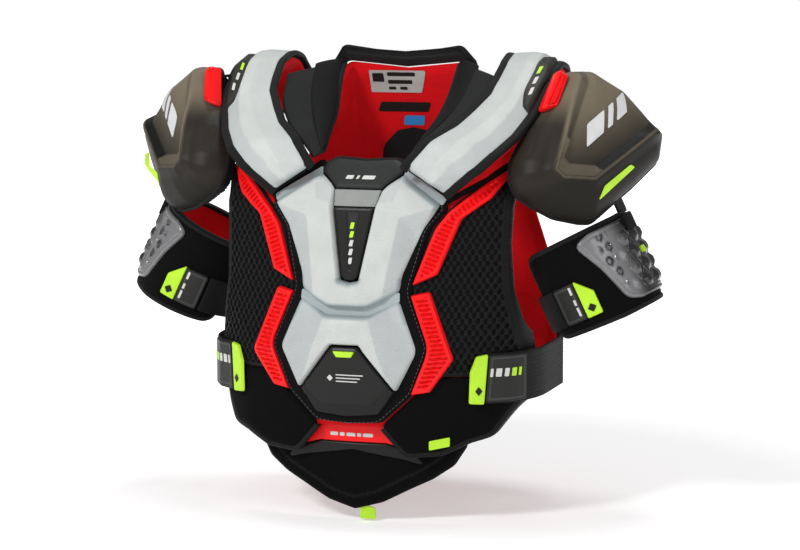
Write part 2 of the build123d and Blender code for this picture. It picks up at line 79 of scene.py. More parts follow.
def chest(u, v, rise):
    """Chest surface: u is x, v is z, rise is the distance outside the carrier's face."""
    z = np.clip(v, -450, -40)
    middle, widest, radius, half = (np.interp(z, chest_sections[:, 0], chest_sections[:, k])
                                    for k in (1, 2, 3, 4))
    turn, level = np.sin(np.radians(half)), np.cos(np.radians(half))
    side_radius = (widest - radius * turn) / (1 - turn)
    side_x = (radius - side_radius) * turn
    side_y = middle + radius - (radius - side_radius) * level
    across = np.abs(u)
    flat = middle + radius - np.sqrt(np.maximum((radius + rise) ** 2 - across ** 2, 1))
    reach = np.clip(across - side_x, 0, side_radius + rise - 0.2)
    side = side_y - np.sqrt((side_radius + rise) ** 2 - reach ** 2)
    y = np.where(across < (radius + rise) * turn, flat, side)
    return np.stack([u, y, v], axis=1)


def rounded(points, radius=0.0):
    """A closed outline with its corners rounded; a point may bring its own radius."""
    result = []
    for index, point in enumerate(points):
        here = Vector(point[:2])
        reach = point[2] if len(point) > 2 else radius
        before = Vector(points[index - 1][:2]) - here
        after = Vector(points[(index + 1) % len(points)][:2]) - here
        angle = before.angle(after)
        if reach <= 0 or angle > pi - 0.04:
            result.append(tuple(here))
            continue
        cut = min(reach / tan(angle / 2), 0.48 * before.length, 0.48 * after.length)
        start, stop = here + before.normalized() * cut, here + after.normalized() * cut
        for k in range(7):
            t = k / 6
            result.append(tuple(start * (1 - t) ** 2 + here * 2 * t * (1 - t) + stop * t * t))
    return result


def both_sides(half):
    """Close an outline given for the left half by its mirror image."""
    return list(half) + [(-p[0], *p[1:]) for p in reversed(half) if p[0] > 0]


def flip(points):
    """The mirror image of an outline, still running the same way round."""
    return [(-p[0], *p[1:]) for p in reversed(points)]


def lengths_along(line):
    """How far along a broken line each of its points lies."""
    return np.concatenate([[0], np.cumsum(np.linalg.norm(np.diff(line, axis=0), axis=1))])


def left_of(run):
    """Unit vectors square to the given ones, on their left."""
    return np.stack([-run[:, 1], run[:, 0]], axis=1) / np.linalg.norm(run, axis=1)[:, None]


def bar_shape(left, low, wide, tall, lean=0.0):
    """Corners of a bar whose top is shifted sideways by its lean."""
    return [(left, low), (left + wide, low), (left + wide + lean, low + tall), (left + lean, low + tall)]


def diamond(x, y, wide, tall):
    """Corners of a diamond round its centre, from its half width and half height."""
    return [(x, y - tall), (x + wide, y), (x, y + tall), (x - wide, y)]


def spaced(points, step, closed=True):
    """Points evenly spaced along a line."""
    line = np.array(list(points) + ([points[0]] if closed else []), float)
    at = lengths_along(line)
    count = max(6, int(round(at[-1] / step)))
    want = np.linspace(0, at[-1], count, endpoint=False) if closed else np.linspace(0, at[-1], count)
    return np.stack([np.interp(want, at, line[:, k]) for k in range(line.shape[1])], axis=1)


def anticlockwise(ring):
    """The ring's points, running anticlockwise."""
    doubled = np.sum(ring[:, 0] * np.roll(ring[:, 1], -1) - np.roll(ring[:, 0], -1) * ring[:, 1])
    return ring[::-1] if doubled < 0 else ring


def side_of(u, v, points):
    """Signed distance from a broken line, positive on its left."""
    line = np.array(points, float)
    start, run = line[:-1], np.diff(line, axis=0)
    best = np.full(len(u), 1e9)
    sign = np.ones(len(u))
    for (sx, sy), (rx, ry) in zip(start, run):
        t = np.clip(((u - sx) * rx + (v - sy) * ry) / (rx * rx + ry * ry), 0, 1)
        gap = np.hypot(u - sx - t * rx, v - sy - t * ry)
        nearer = gap < best - 1e-9
        best = np.where(nearer, gap, best)
        sign = np.where(nearer, np.where(rx * (v - sy) - ry * (u - sx) >= 0, 1, -1), sign)
    return best * sign


def inside(u, v, ring):
    """Which points lie inside a closed ring."""
    result = np.zeros(len(u), bool)
    for (ax, ay), (bx, by) in zip(ring, np.roll(ring, -1, axis=0)):
        if ay == by:
            continue
        crosses = ((ay > v) != (by > v)) & (u < (bx - ax) * (v - ay) / (by - ay) + ax)
        result ^= crosses
    return result


def dome(d, radius, low, high):
    """A height that rises from low at an edge to high, with a rounded rim."""
    t = np.clip(d / radius, 0, 1)
    return low + (high - low) * np.sqrt(1 - (1 - t) ** 2)


def domed(radius, low, high):
    """A panel's top that is a plain dome."""
    return lambda u, v, d: (dome(d, radius, low, high), 0)


def flat_at(height, tone_and_painted_light=0.0):
    """A panel's top at one height."""
    return lambda u, v, d: (height + 0 * u, tone_and_painted_light)


def soft_step(value, low, high):
    """0 below low, 1 above high, smooth between."""
    t = np.clip((value - low) / (high - low), 0, 1)
    return t * t * (3 - 2 * t)


def new_piece(name, points, faces, spots, tone_and_painted_light, finish, smooth=32):
    """A mesh object at the origin from points in millimetres, with a map in millimetres."""
    mesh = bpy.data.meshes.new(name)
    mesh.from_pydata((np.asarray(points, float) * MM).tolist(), [], faces)
    loops = np.empty(len(mesh.loops), dtype=np.int32)
    mesh.loops.foreach_get("vertex_index", loops)
    uv = mesh.uv_layers.new(name="map")
    uv.data.foreach_set("uv", np.asarray(spots, np.float32)[loops].ravel())
    layer = mesh.attributes.new("tone_and_painted_light", "FLOAT", "POINT")
    layer.data.foreach_set("value", np.asarray(tone_and_painted_light, np.float32))
    mesh.update()
    obj = bpy.data.objects.new(name, mesh)
    bpy.context.scene.collection.objects.link(obj)
    bpy.ops.object.select_all(action="DESELECT")
    obj.select_set(True)
    bpy.context.view_layer.objects.active = obj
    bpy.ops.object.shade_smooth_by_angle(angle=radians(smooth))
    mesh.materials.append(finish)
    return obj


def panel(name, outline, form, top, finish, floor=0.0, step=2.0, corner=2.0, rows=(0.5, 1.3, 2.4),
          smooth=32, body=None, slot=None, nodes=()):
    """One moulded or cut layer. form(u, v, rise) places it, top(u, v, d) gives its height and the share of
    its second colour, a real tone on some pieces and painted light and shade on others.
    """
    ring = anticlockwise(spaced(rounded(outline, corner), step))
    closed = np.vstack([ring, ring[:1]])
    run = np.roll(ring, -1, axis=0) - np.roll(ring, 1, axis=0)
    inward = left_of(run)
    loose = [ring + inward * row for row in rows]
    low, high = ring.min(axis=0), ring.max(axis=0)
    tall = step * sqrt(3) / 2
    for k, v in enumerate(np.arange(low[1], high[1], tall)):
        u = np.arange(low[0] + (k % 2) * step / 2, high[0], step)
        loose.append(np.stack([u, np.full(len(u), v)], axis=1))
    loose = np.vstack(loose)
    loose = loose[inside(loose[:, 0], loose[:, 1], ring)]
    depth = np.abs(side_of(loose[:, 0], loose[:, 1], closed))
    count = len(ring)
    wanted = np.zeros(len(loose), bool)
    last = rows[-1] if rows else 0
    for row in rows:
        wanted |= np.abs(depth - row) < ROW_SLACK
    wanted |= depth > last + 0.5 * step
    loose, depth = loose[wanted], depth[wanted]
    flat = np.vstack([ring, loose])
    edges = [(k, (k + 1) % count) for k in range(count)]
    found = delaunay_2d_cdt([Vector(p) for p in flat], edges, [], 1, 1e-4)
    flat = np.array([tuple(p) for p in found[0]])
    origin = {}
    for new, sources in enumerate(found[3]):
        for source in sources:
            origin[source] = new
    border = [origin[k] for k in range(count)]
    d = np.zeros(len(flat))
    for new, sources in enumerate(found[3]):
        d[new] = min((0.0 if s < count else depth[s - count]) for s in sources) if sources else 0.0
    height, tone_and_painted_light = top(flat[:, 0], flat[:, 1], d)
    height = height + np.zeros(len(flat))
    under = floor(flat[:, 0], flat[:, 1], d) if callable(floor) else np.full(len(flat), float(floor))
    upper = form(flat[:, 0], flat[:, 1], np.maximum(height, under + THINNEST))
    lower = form(flat[:, 0], flat[:, 1], under)
    size = len(flat)
    faces = [tuple(f) for f in found[2]]
    faces += [tuple(k + size for k in reversed(f)) for f in found[2]]
    for a, b in zip(border, border[1:] + border[:1]):
        faces.append((a + size, b + size, b, a))
    obj = new_piece(name, np.vstack([upper, lower]), faces, np.vstack([flat, flat]),
                    np.concatenate([tone_and_painted_light + np.zeros(size)] * 2), finish, smooth)
    return settle(obj, body, nodes)


def settle(obj, body, nodes=()):
    """Attach a finished piece to its body and hide the CAD nodes that it replaces."""
    if body:
        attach(obj, body)
    if nodes:
        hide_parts(*nodes)
    return obj


def look(name, colour, rough, tone_and_painted_light_colour=None, sheen=0.0, coat=0.0, metal=0.0, shine=0.35):
    """Start a finish: returns the material, its tree, its shader and the map's socket in millimetres."""
    finish = bpy.data.materials.new(name)
    finish.use_nodes = True
    tree = finish.node_tree
    shader = tree.nodes["Principled BSDF"]
    shader.inputs["Roughness"].default_value = rough
    shader.inputs["Metallic"].default_value = metal
    shader.inputs["Specular IOR Level"].default_value = shine
    shader.inputs["Sheen Weight"].default_value = sheen
    shader.inputs["Sheen Roughness"].default_value = 0.4
    shader.inputs["Coat Weight"].default_value = coat
    shader.inputs["Coat Roughness"].default_value = 0.15
    place = node(tree, "ShaderNodeUVMap", uv_map="map").outputs["UV"]
    mottle = node(tree, "ShaderNodeTexNoise", Scale=0.045, Detail=6.0)
    tree.links.new(place, mottle.inputs["Vector"])
    mottled_tone = tree.nodes.new("ShaderNodeMix")
    mottled_tone.data_type = "RGBA"
    mottled_tone.inputs[6].default_value = tuple(c * 0.86 for c in colour) + (1,)
    mottled_tone.inputs[7].default_value = tuple(min(c * 1.12, 1) for c in colour) + (1,)
    tree.links.new(mottle.outputs["Fac"], mottled_tone.inputs[0])
    base = mottled_tone.outputs[2]
    # The tint attribute mixes in the second colour: a real tone on some pieces, painted shade and painted
    # highlights on others.
    if tone_and_painted_light_colour:
        layer = node(tree, "ShaderNodeAttribute", attribute_name="tone_and_painted_light")
        paint = tree.nodes.new("ShaderNodeMix")
        paint.data_type = "RGBA"
        paint.inputs[7].default_value = tuple(tone_and_painted_light_colour) + (1,)
        tree.links.new(layer.outputs["Fac"], paint.inputs[0])
        tree.links.new(base, paint.inputs[6])
        base = paint.outputs[2]
    tree.links.new(base, shader.inputs["Base Color"])
    return finish, tree, shader, place


def node(tree, kind, **values):
    """Add a node; values name its sockets or its settings."""
    made = tree.nodes.new(kind)
    for key, value in values.items():
        if key in made.inputs:
            made.inputs[key].default_value = value
        else:
            setattr(made, key, value)
    return made


def relief(tree, shader, layers, depth=0.25):
    """Bump from texture sockets, each given as (socket, strength), added one on another."""
    previous = None
    for socket, strength in layers:
        bump = node(tree, "ShaderNodeBump", Strength=strength, Distance=depth * MM)
        tree.links.new(socket, bump.inputs["Height"])
        if previous:
            tree.links.new(previous, bump.inputs["Normal"])
        previous = bump.outputs["Normal"]
    tree.links.new(previous, shader.inputs["Normal"])


def grain(tree, place, scale, detail=4.0, rough=0.55):
    """Fine random grain."""
    made = node(tree, "ShaderNodeTexNoise", Scale=scale, Detail=detail, Roughness=rough)
    tree.links.new(place, made.inputs["Vector"])
    return made.outputs["Fac"]


def lines(tree, place, pitch, angle=0.0, wobble=0.0):
    """Parallel ridges a given pitch apart, turned by an angle in the map."""
    turned = node(tree, "ShaderNodeMapping", Rotation=(0.0, 0.0, radians(angle)))
    tree.links.new(place, turned.inputs["Vector"])
    made = node(tree, "ShaderNodeTexWave", Scale=2 * pi / (20 * pitch), Distortion=wobble, Detail=1.0)
    made.bands_direction = "X"
    tree.links.new(turned.outputs[0], made.inputs["Vector"])
    return made.outputs["Fac"]


def cells(tree, place, scale):
    """Small leathery or granular cells."""
    made = node(tree, "ShaderNodeTexVoronoi", Scale=scale)
    tree.links.new(place, made.inputs["Vector"])
    return made.outputs["Distance"]


def surface(name, colour, rough, tone_and_painted_light_colour, layers, depth, **more):
    """A finish with bump layers, each given as (texture, strength, the texture's settings)."""
    finish, tree, shader, place = look(name, colour, rough, tone_and_painted_light_colour, **more)
    relief(tree, shader, [(kind(tree, place, *how), strength) for kind, strength, *how in layers], depth)
    return finish


def rubber_red(name="rubber_red", colour=(0.80, 0.004, 0.006), rough=0.42):
    """Injected red rubber with a satin skin; the darker red is painted shade in its grooves."""
    return surface(name, colour, rough, (0.50, 0.001, 0.002), [(grain, 0.12, 1.6)], 0.2, coat=0.04,
                   shine=0.22)


def velour_black(name="velour_black", colour=(0.0036, 0.0036, 0.0039)):
    """Brushed loop pile: nearly black, with a soft sheen and a nap."""
    return surface(name, colour, 0.95, (0.02, 0.02, 0.021), [(grain, 0.9, 1.1, 8, 0.7), (cells, 0.5, 0.8)],
                   0.5, sheen=0.035, shine=0.05)


def neoprene(name="neoprene", colour=(0.006, 0.0062, 0.0065), rough=0.62):
    """Laminated neoprene with a fine jersey face."""
    return surface(name, colour, rough, (0.055, 0.056, 0.058),
                   [(lines, 0.25, 0.9, 0), (lines, 0.25, 1.2, 90), (grain, 0.6, 0.12, 3)], 0.3, sheen=0.02,
                   shine=0.1)


def leather(name="leather", colour=(0.018, 0.019, 0.019), rough=0.5):
    """Synthetic leather, finely pebbled."""
    return surface(name, colour, rough, (0.09, 0.092, 0.095), [(cells, 0.4, 0.85), (grain, 0.5, 0.1, 3)],
                   0.3, shine=0.2)


def woven(name, colour, pitch=0.9, rough=0.7, tone_and_painted_light_colour=(0.02, 0.02, 0.02)):
    """Plain woven cloth or a woven label."""
    return surface(name, colour, rough, tone_and_painted_light_colour,
                   [(lines, 0.45, pitch, 0), (lines, 0.45, pitch, 90), (grain, 0.3, 0.6)], 0.3, sheen=0.02,
                   shine=0.12)


def printed(name, colour, rough=0.45):
    """A flat welded or printed mark."""
    return surface(name, colour, rough, tuple(c * 0.5 for c in colour), [(grain, 0.15, 1.0)], 0.15)


# Thermoformed film over foam with a fine diagonal hatch; its blue-grey second colour is painted shade in the
# grooves and on the facets that fall away.
WHITE = surface("shell_white", (0.475, 0.495, 0.480), 0.50, (0.20, 0.26, 0.28),
                [(lines, 0.42, 1.7, 56, 1.0), (lines, 0.22, 2.2, -20), (grain, 0.22, 0.9),
                 (grain, 0.6, 0.05, 2)], 0.3, coat=0.04, shine=0.3)
RED = rubber_red()
# Warp-knitted spacer mesh: shiny yarn ridges, and holes painted near black as painted shade.
MESH = surface("mesh_black", (0.0075, 0.0078, 0.0084), 0.6, (0.0008, 0.0008, 0.0009),
               [(lines, 0.5, 0.8, 35), (lines, 0.5, 0.8, -35), (grain, 0.3, 1.2)], 0.35, sheen=0.02,
               shine=0.12)
VELOUR = velour_black()
NEOPRENE = neoprene()
LEATHER = leather()
# Moulded black plastic with faint flow marks.
BLACK = surface("moulded_black", (0.0075, 0.0075, 0.007), 0.42, (0.02, 0.02, 0.02),
                [(grain, 0.15, 0.8), (grain, 0.3, 0.07, 2)], 0.3, coat=0.03, shine=0.2)
LIME = printed("lime", (0.42, 0.72, 0.02))
PALE = printed("pale_mark", (0.55, 0.55, 0.53))
RED_CLOTH = woven("red_cloth", (0.62, 0.004, 0.008), 1.4, 0.85, (0.20, 0.001, 0.002))
SIDES = (("left", list), ("right", flip))

# White sternum plates: 14 mm high, split by the flex groove at the waist. Outer facets fall away
# from a crease that runs from the groove at the collar bone to the waist.
plate_height = 12.6
upper_half = [(9.5, -199, 2), (21.7, -130, 1), (24.6, -113.5, 1), (29, -108.5, 1), (42.5, -99, 1),
              (84, -125.5, 4), (70, -148, 30), (51, -194, 30), (50, -209, 8), (21, -224, 12)]
upper_plate = [(0, -201)] + upper_half + [(0, -224)] + flip(upper_half)
outer_crease = [(130, -112), (47, -137), (27, -260)]
inner_crease = [(-10, -133), (40, -122), (60, -60)]


def upper_top(u, v, d):
    x = np.abs(u)
    outer = np.maximum(side_of(x, v, outer_crease), 0)
    inner = np.maximum(side_of(x, v, inner_crease), 0)
    height = plate_height - 0.46 * outer - 0.42 * inner
    height -= 2.2 * soft_step(-side_of(x, v, [(21, -224), (50, -209)]), -9, 0)
    rim = dome(d, 3.2, 0.35, 1.0)
    groove = np.where(v < -196, 1 - soft_step(d, 1.5, 5.5), 0)
    near_groove = (side_of(x, v, [(38, -97), (90, -130)]) > -7) & (x > 40)
    groove = np.maximum(groove, np.where(near_groove, 1 - soft_step(d, 1.5, 4.5), 0))
    # Painted shade: blue-grey on the grooves' rims and on the facets that fall away from the creases.
    facet_shade = 0.30 * soft_step(outer, 0, 1.0) + 0.16 * soft_step(inner, 0, 1.0)
    return np.maximum(height, 4.6) * rim, np.maximum(0.75 * groove, facet_shade)


lower_half = [(14.5, -260, 3), (48, -303, 1), (50, -303, 1), (70, -265, 14), (52, -221, 8), (49, -217, 2),
              (22, -232, 12)]
lower_plate = [(0, -260)] + lower_half + [(0, -232)] + flip(lower_half)


def lower_top(u, v, d):
    x = np.abs(u)
    outer = np.maximum(-side_of(x, v, [(75, -371), (41, -288), (3, -181)]), 0)
    height = plate_height - 0.5 - 0.24 * outer
    height -= 2.2 * soft_step(v, -244, -229)
    # Painted shade: blue-grey on the groove's rim and on the outer facet.
    groove = np.where(v > -240, 1 - soft_step(d, 1.5, 5.5), 0)
    facet_shade = 0.30 * soft_step(outer, 0, 1.0)
    return np.maximum(height, 5.2) * dome(d, 3.2, 0.35, 1.0), np.maximum(0.7 * groove, facet_shade)


panel("sternum_upper", upper_plate, chest, upper_top, WHITE, 0.3, 1.6, smooth=30, body=FRONT,
      slot="white_plate", nodes=["sternum_upper"])
panel("sternum_lower", lower_plate, chest, lower_top, WHITE, 0.3, 1.6, smooth=30, body=FRONT,
      slot="white_plate", nodes=["sternum_lower"])

# Collar patch: pebbled synthetic leather yoke under the throat, with a plain welded bar mark.
patch = both_sides([(0, -86), (30, -84, 8), (40, -88), (41, -98), (28, -107.5), (23.5, -112.5), (0, -112.5)])
panel("collar_patch", patch, chest, domed(6, 2.5, 6.6), LEATHER, 0.3, 2, 1.5,
      body=FRONT, slot="charcoal_label", nodes=["collar_patch"])
for k, (left, wide) in enumerate([(-15.5, 7.5), (-4.5, 2.5), (1.5, 12.5)]):
    bar = bar_shape(left, -103.2, wide, 3.4, 1.5)
    panel(f"collar_mark_{k}", bar, chest, flat_at(7.1), PALE, 6.2, 1, 0.3, (), body=FRONT)

# Woven window and long badge between the upper plates; belly badge with its lime insert.
GREY_CLOTH = woven("grey_cloth", (0.27, 0.28, 0.27), 0.8)
window = both_sides([(0, -113.2), (23.8, -113.2), (21.2, -128.5), (0, -128.5)])
panel("sternum_window", window, chest, domed(1.5, 5.5, 6.4), GREY_CLOTH, 0.3, 1.6,
      0.4, (0.5, 1.2), body=FRONT, slot="grey_fabric", nodes=["sternum_window"])
badge = both_sides([(0, -129.2), (20.8, -129.2, 0.5), (9, -195, 4), (5, -198.5, 3), (0, -199)])


def badge_top(u, v, d):
    inset = soft_step(7.0 - 0.10 * (-129 - v) - np.abs(u), 0, 1.2) * soft_step(v, -190, -188)
    inset *= soft_step(-v, 133, 135)
    return dome(d, 1.8, 4.5, 8.2) - 0.9 * inset, inset * 0.9


panel("sternum_badge", badge, chest, badge_top, BLACK, 0.3, 1.2, 0.5, (0.4, 1.0), body=FRONT,
      slot="black_badge", nodes=["sternum_badge"])
for k in range(5):
    tick = bar_shape(-2.4, -183 + 8.4 * k, 3.6, 6, 1.2)
    panel(f"badge_mark_{k}", tick, chest, flat_at(8.0), LIME if k > 2 else PALE, 7.2, 1, 0.3, (),
          body=FRONT)
belly = both_sides([(0, -261.5), (13.5, -261.5, 3), (48, -305, 1), (32, -328, 6), (0, -331)])


def belly_top(u, v, d):
    x = np.abs(u)
    step = soft_step(-v - 0.18 * x, 302, 306)
    ledge = soft_step(side_of(x, v, [(0, -318), (24, -318), (38, -304)]) * -1, 0, 2)
    return dome(d, 2.5, 3.5, 9.0) - 1.6 * step * ledge - 0.5 * ledge, 0.25 * (1 - ledge)


panel("belly_badge", belly, chest, belly_top, BLACK, 0.3, 1.5, 1, (0.5, 1.2), body=FRONT,
      slot="black_badge", nodes=["belly_badge"])
insert = both_sides([(0, -265.5), (11.5, -265.5), (7.5, -271.5), (0, -271.5)])
panel("belly_badge_tab", insert, chest, domed(0.8, 9.2, 10.2), LIME, 8.2, 1.2, 1,
      (0.4,), body=FRONT, slot="lime_trim", nodes=["belly_badge_tab"])
for k in range(3):
    mark = bar_shape(-9, -289.5 - 3.2 * k, 28 - 3 * k, 1.1)
    panel(f"belly_mark_{k}", mark, chest, flat_at(9.15), PALE, 8.2, 1, 0.2, (), body=FRONT)
panel("belly_dot", diamond(-15, -292.3, 3.2, 3.2), chest, flat_at(9.2), PALE, 8.2, 1, 0.2, (), body=FRONT)

# Contour border: the black carrier that shows as a soft rolled rim round the plates.
core_half = [(0, -88), (30, -86), (39, -90), (41, -98), (84, -125), (91, -129, 6), (74, -150, 25),
             (60, -206, 25), (61, -214, 20), (81, -263, 14), (64, -308, 20), (34, -336, 8), (0, -338)]
BORDER = velour_black("border_black", (0.0055, 0.0055, 0.006))
panel("chest_core", both_sides(core_half), chest, domed(5, 0.2, 3.2), BORDER, -4, 2.2,
      3, body=FRONT, slot="neoprene", nodes=["chest_core"])

# Black neoprene hinge strips join the chest to the arches' feet. The plates' film runs on over them as a
# thin web, and across the waist groove too, tinted blue-grey as painted shade in the grooves.
for side, hand in ((1, "left"), (-1, "right")):
    hinge = [(37 * side, -93), (47 * side, -86), (93 * side, -115), (88 * side, -130), (44 * side, -104)]
    panel(f"hinge_strip_{hand}", hinge, chest, flat_at(0.2), BORDER, -2.6, 2.5, 2, body=FRONT)
    web = [(41.5 * side, -98), (44.5 * side, -92.5), (88.5 * side, -120), (85 * side, -126.5),
           (44 * side, -101)]
    panel(f"flex_web_{hand}", web, chest, flat_at(3.0, 0.65), WHITE, 0.2, 2.0, 1, body=FRONT)
waist_web = both_sides([(0, -223), (21, -223), (50, -208.5), (50.5, -218), (22, -233), (0, -233)])
panel("flex_web_waist", waist_web, chest, flat_at(4.2, 0.6), WHITE, 0.3, 2.0, 1, body=FRONT)

# Spacer-mesh wings: lens-shaped holes in staggered rows, between the border and the armhole.
armhole = [(121, -103), (136, -90, 6), (147, -86, 8), (149, -99, 8), (145, -122, 20), (143, -165),
           (145, -208, 30), (152, -243, 30), (158, -268)]
hem = [(158, -312, 12), (147, -326, 16), (133, -348, 16), (115, -353, 12), (90, -365, 16), (57, -368, 16)]
wing_inner = [(91.6, -129.6), (74.6, -150.4), (60.6, -206), (61.6, -213.8), (81.6, -263), (71, -290)]
hole_pitch, hole_rise, hole_wide, hole_tall = 6.6, 11.0, 1.9, 3.7
rib_pitch = 4.3


def wing_top(u, v, d):
    row = np.round(v / (hole_rise / 2))
    column = (np.abs(u) - (row % 2) * hole_pitch / 2) / hole_pitch
    across = (column - np.round(column)) * hole_pitch
    up = v - row * hole_rise / 2
    lens = np.abs(across) / hole_wide + (up / hole_tall) ** 2
    hole = 1 - soft_step(lens, 0.75, 1.15)
    hole *= soft_step(d, 3.5, 4.5)
    # The holes are sunk and painted darker: painted shade in the holes.
    return dome(d, 4, -2.5, 0.6) - 1.5 * hole, hole


for side, turned in SIDES:
    outline = turned(wing_inner + [(156, -290), (158, -268)] + armhole[::-1][1:])
    wing = panel(f"mesh_wing_{side}", outline, chest, wing_top, MESH, -3.6, 1.15, 1, (0.8, 2.0), 40, FRONT,
                 "black_mesh", [f"mesh_wing_{side}"])
    pile = turned([(71.4, -290.6), (65, -308.4), (35, -337.2), (34, -342, 4)] + hem[::-1] + [(156, -290.6)])
    belly_pad = panel(f"loop_panel_{side}", pile, chest, domed(7, -3.5, 0.5), VELOUR, -4, 2.4, 1,
                      body=FRONT, slot="loop_pile", nodes=[f"loop_panel_{side}"])
    # Red ribbed pads: rubber welded over the mesh, ribs cut square to the pad's length; the troughs between
    # ribs are painted darker red as painted shade.
    for level, pad in (
            ("upper", [(60.5, -203, 1), (84, -192, 4), (104, -139, 12), (129, -120, 10), (147, -92, 2),
                       (140, -93), (122, -106), (112, -114, 8), (92, -132, 12), (80, -148, 30)]),
            ("lower", [(60, -212, 1), (78, -208, 4), (103, -272, 8), (80, -305, 3), (62, -308, 1),
                       (80, -263, 25)])):

        def pad_top(u, v, d, level=level):
            x = np.abs(u)
            if level == "upper":
                above = (x - 104) * 0.72 + (v + 138) * 0.7
                below = (v + 138) * 0.93 + (x - 84) * 0.36
                along = np.where(v > -138, above, below)
            else:
                along = v * 0.995 - (x - 80) * 0.10
            wave = np.abs(along / rib_pitch - np.round(along / rib_pitch)) * 2
            band = soft_step(d, 3.6, 5.0)
            rib = soft_step(wave, 0.30, 0.62) * band
            # Painted shade: the troughs between the ribs are darkened.
            return dome(d, 1.6, 0.6, 5.2) - band * 2.6 + 2.5 * rib, band * (1 - rib) * 0.22

        panel(f"rib_pad_{level}_{side}", turned(pad), chest, pad_top, RED, 0.2, 1.05, 1,
              (0.5, 1.2, 2.2, 3.4), 40, FRONT, "red_rib", [f"rib_pad_{level}_{side}"])

# Chest liner: red mesh-faced foam behind the whole front.
liner_half = [(0, -88), (30, -86), (39, -90), (41, -98), (84, -125)] + armhole + hem + [
    (34, -342, 4), (0, -342)]


def chest_liner_floor(u, v, d):
    return -12 + 0.4 * np.maximum(9 - d, 0)


liner = panel("chest_liner", both_sides(liner_half), chest, domed(4, -9, -4.4), RED_CLOTH, chest_liner_floor,
              3.0, 3, body=FRONT, slot="red_liner", nodes=["chest_liner"])
tab = [(79, -353), (98, -349), (98, -358), (79, -362)]
panel("size_tab", tab, chest, flat_at(1.2), LIME, 0.3, 1.5, 0.6, (), body=FRONT, slot="lime_trim",
      nodes=["size_tab"])

# ---------------------------------------------------------------------------------------------
# The shoulder arches. White moulded pads that run from the collar bone over the shoulder to the
# back, on a black carrier with a red foam liner, their edges bound with ribbed elastic tape.
# ---------------------------------------------------------------------------------------------

arch_fall = tan(radians(8))
arch_mid_x = 130
arch_profile = [(-82, -150, 0), (-86, -125, 20), (-91, -98, 10), (-82, -76, 16), (-52, -50, 30),
                (-17, -17, 40), (14, 5, 30), (40, 13, 30), (64, 8, 24), (82, -12, 22), (90, -42, 30),
                (90, -150, 0)]
arch_line = spaced(rounded(arch_profile), 1.5, closed=False)
arch_run = lengths_along(arch_line)
arch_way = np.gradient(arch_line, axis=0)
arch_way /= np.linalg.norm(arch_way, axis=1)[:, None]
ridge = int(np.argmax(arch_line[:, 1]))


def arch(u, v, rise):
    """Arch surface: u is x, v runs along the section from the front foot over to the back."""
    y, z = (np.interp(v, arch_run, arch_line[:, k]) for k in (0, 1))
    out_y, out_z = -np.interp(v, arch_run, arch_way[:, 1]), np.interp(v, arch_run, arch_way[:, 0])
    fall = (np.abs(u) - arch_mid_x) * arch_fall
    return np.stack([u, y + out_y * rise, z - fall + out_z * rise], axis=1)


def front_spot(x, z, radius=0.0):
    """Where a place on the arch's front slope lies in the arch's own map."""
    level = z + (x - arch_mid_x) * arch_fall
    return x, float(np.interp(level, arch_line[:ridge, 1], arch_run[:ridge])), radius


def back_spot(x, z, radius=0.0):
    """The same for a place on the back slope."""
    level = z + (x - arch_mid_x) * arch_fall
    return x, float(np.interp(-level, -arch_line[ridge:, 1], arch_run[ridge:])), radius


def paired(make, name, outline, form, top, finish, bodies, nodes=(), **more):
    """Make a piece on the wearer's left and its mirror image on the right."""
    made = []
    for side in ("left", "right"):
        if side == "left":
            line, place, lift = list(outline), form, top
        else:
            line = flip(outline)
            place = lambda u, v, rise: form(-u, v, rise) * (-1, 1, 1)
            lift = (lambda u, v, d: top(-u, v, d)) if callable(top) else top
        body = bodies if bodies in (BACK, FRONT) else f"{bodies}_{side}"
        made.append(make(f"{name}_{side}", line, place, lift, finish, body=body,
                         nodes=[f"{n}_{side}" for n in nodes], **more))
    return made


def ribbon(name, path, form, section, finish, floor=0.0, step=2.0, closed=False, body=None, slot=None,
           nodes=()):
    """A tape or cord along a path on a form; the section gives (across, rise) points, in order."""
    line = spaced([tuple(p[:2]) for p in path], step, closed)
    if closed:
        run = np.roll(line, -1, axis=0) - np.roll(line, 1, axis=0)
    else:
        run = np.gradient(line, axis=0)
    left = left_of(run)
    count, around = len(line), len(section)
    girth = lengths_along(np.array(section, float))
    points, spots = [], []
    for k, (across, rise) in enumerate(section):
        at = line + left * across
        points.append(form(at[:, 0], at[:, 1], np.full(count, rise + floor)))
        spots.append(np.stack([np.arange(count) * step, np.full(count, girth[k])], axis=1))
    points = np.stack(points, axis=1).reshape(-1, 3)
    spots = np.stack(spots, axis=1).reshape(-1, 2)
    faces = []
    for k in range(count if closed else count - 1):
        here, there = k * around, ((k + 1) % count) * around
        for j in range(around):
            after = (j + 1) % around
            faces.append((here + j, there + j, there + after, here + after))
    if not closed:
        faces += [tuple(range(around)), tuple((count - 1) * around + j for j in reversed(range(around)))]
    obj = new_piece(name, points, faces, spots, np.zeros(len(points)), finish, 45)
    return settle(obj, body, nodes)


def oval(width, height, count=14, power=0.6):
    """A rounded flat section, wound so that its faces look outwards."""
    result = []
    for k in range(count):
        a = -2 * pi * k / count
        c, s = cos(a), sin(a)
        result.append((width / 2 * abs(c) ** power * (1 if c > 0 else -1),
                       height / 2 * abs(s) ** power * (1 if s > 0 else -1)))
    return result


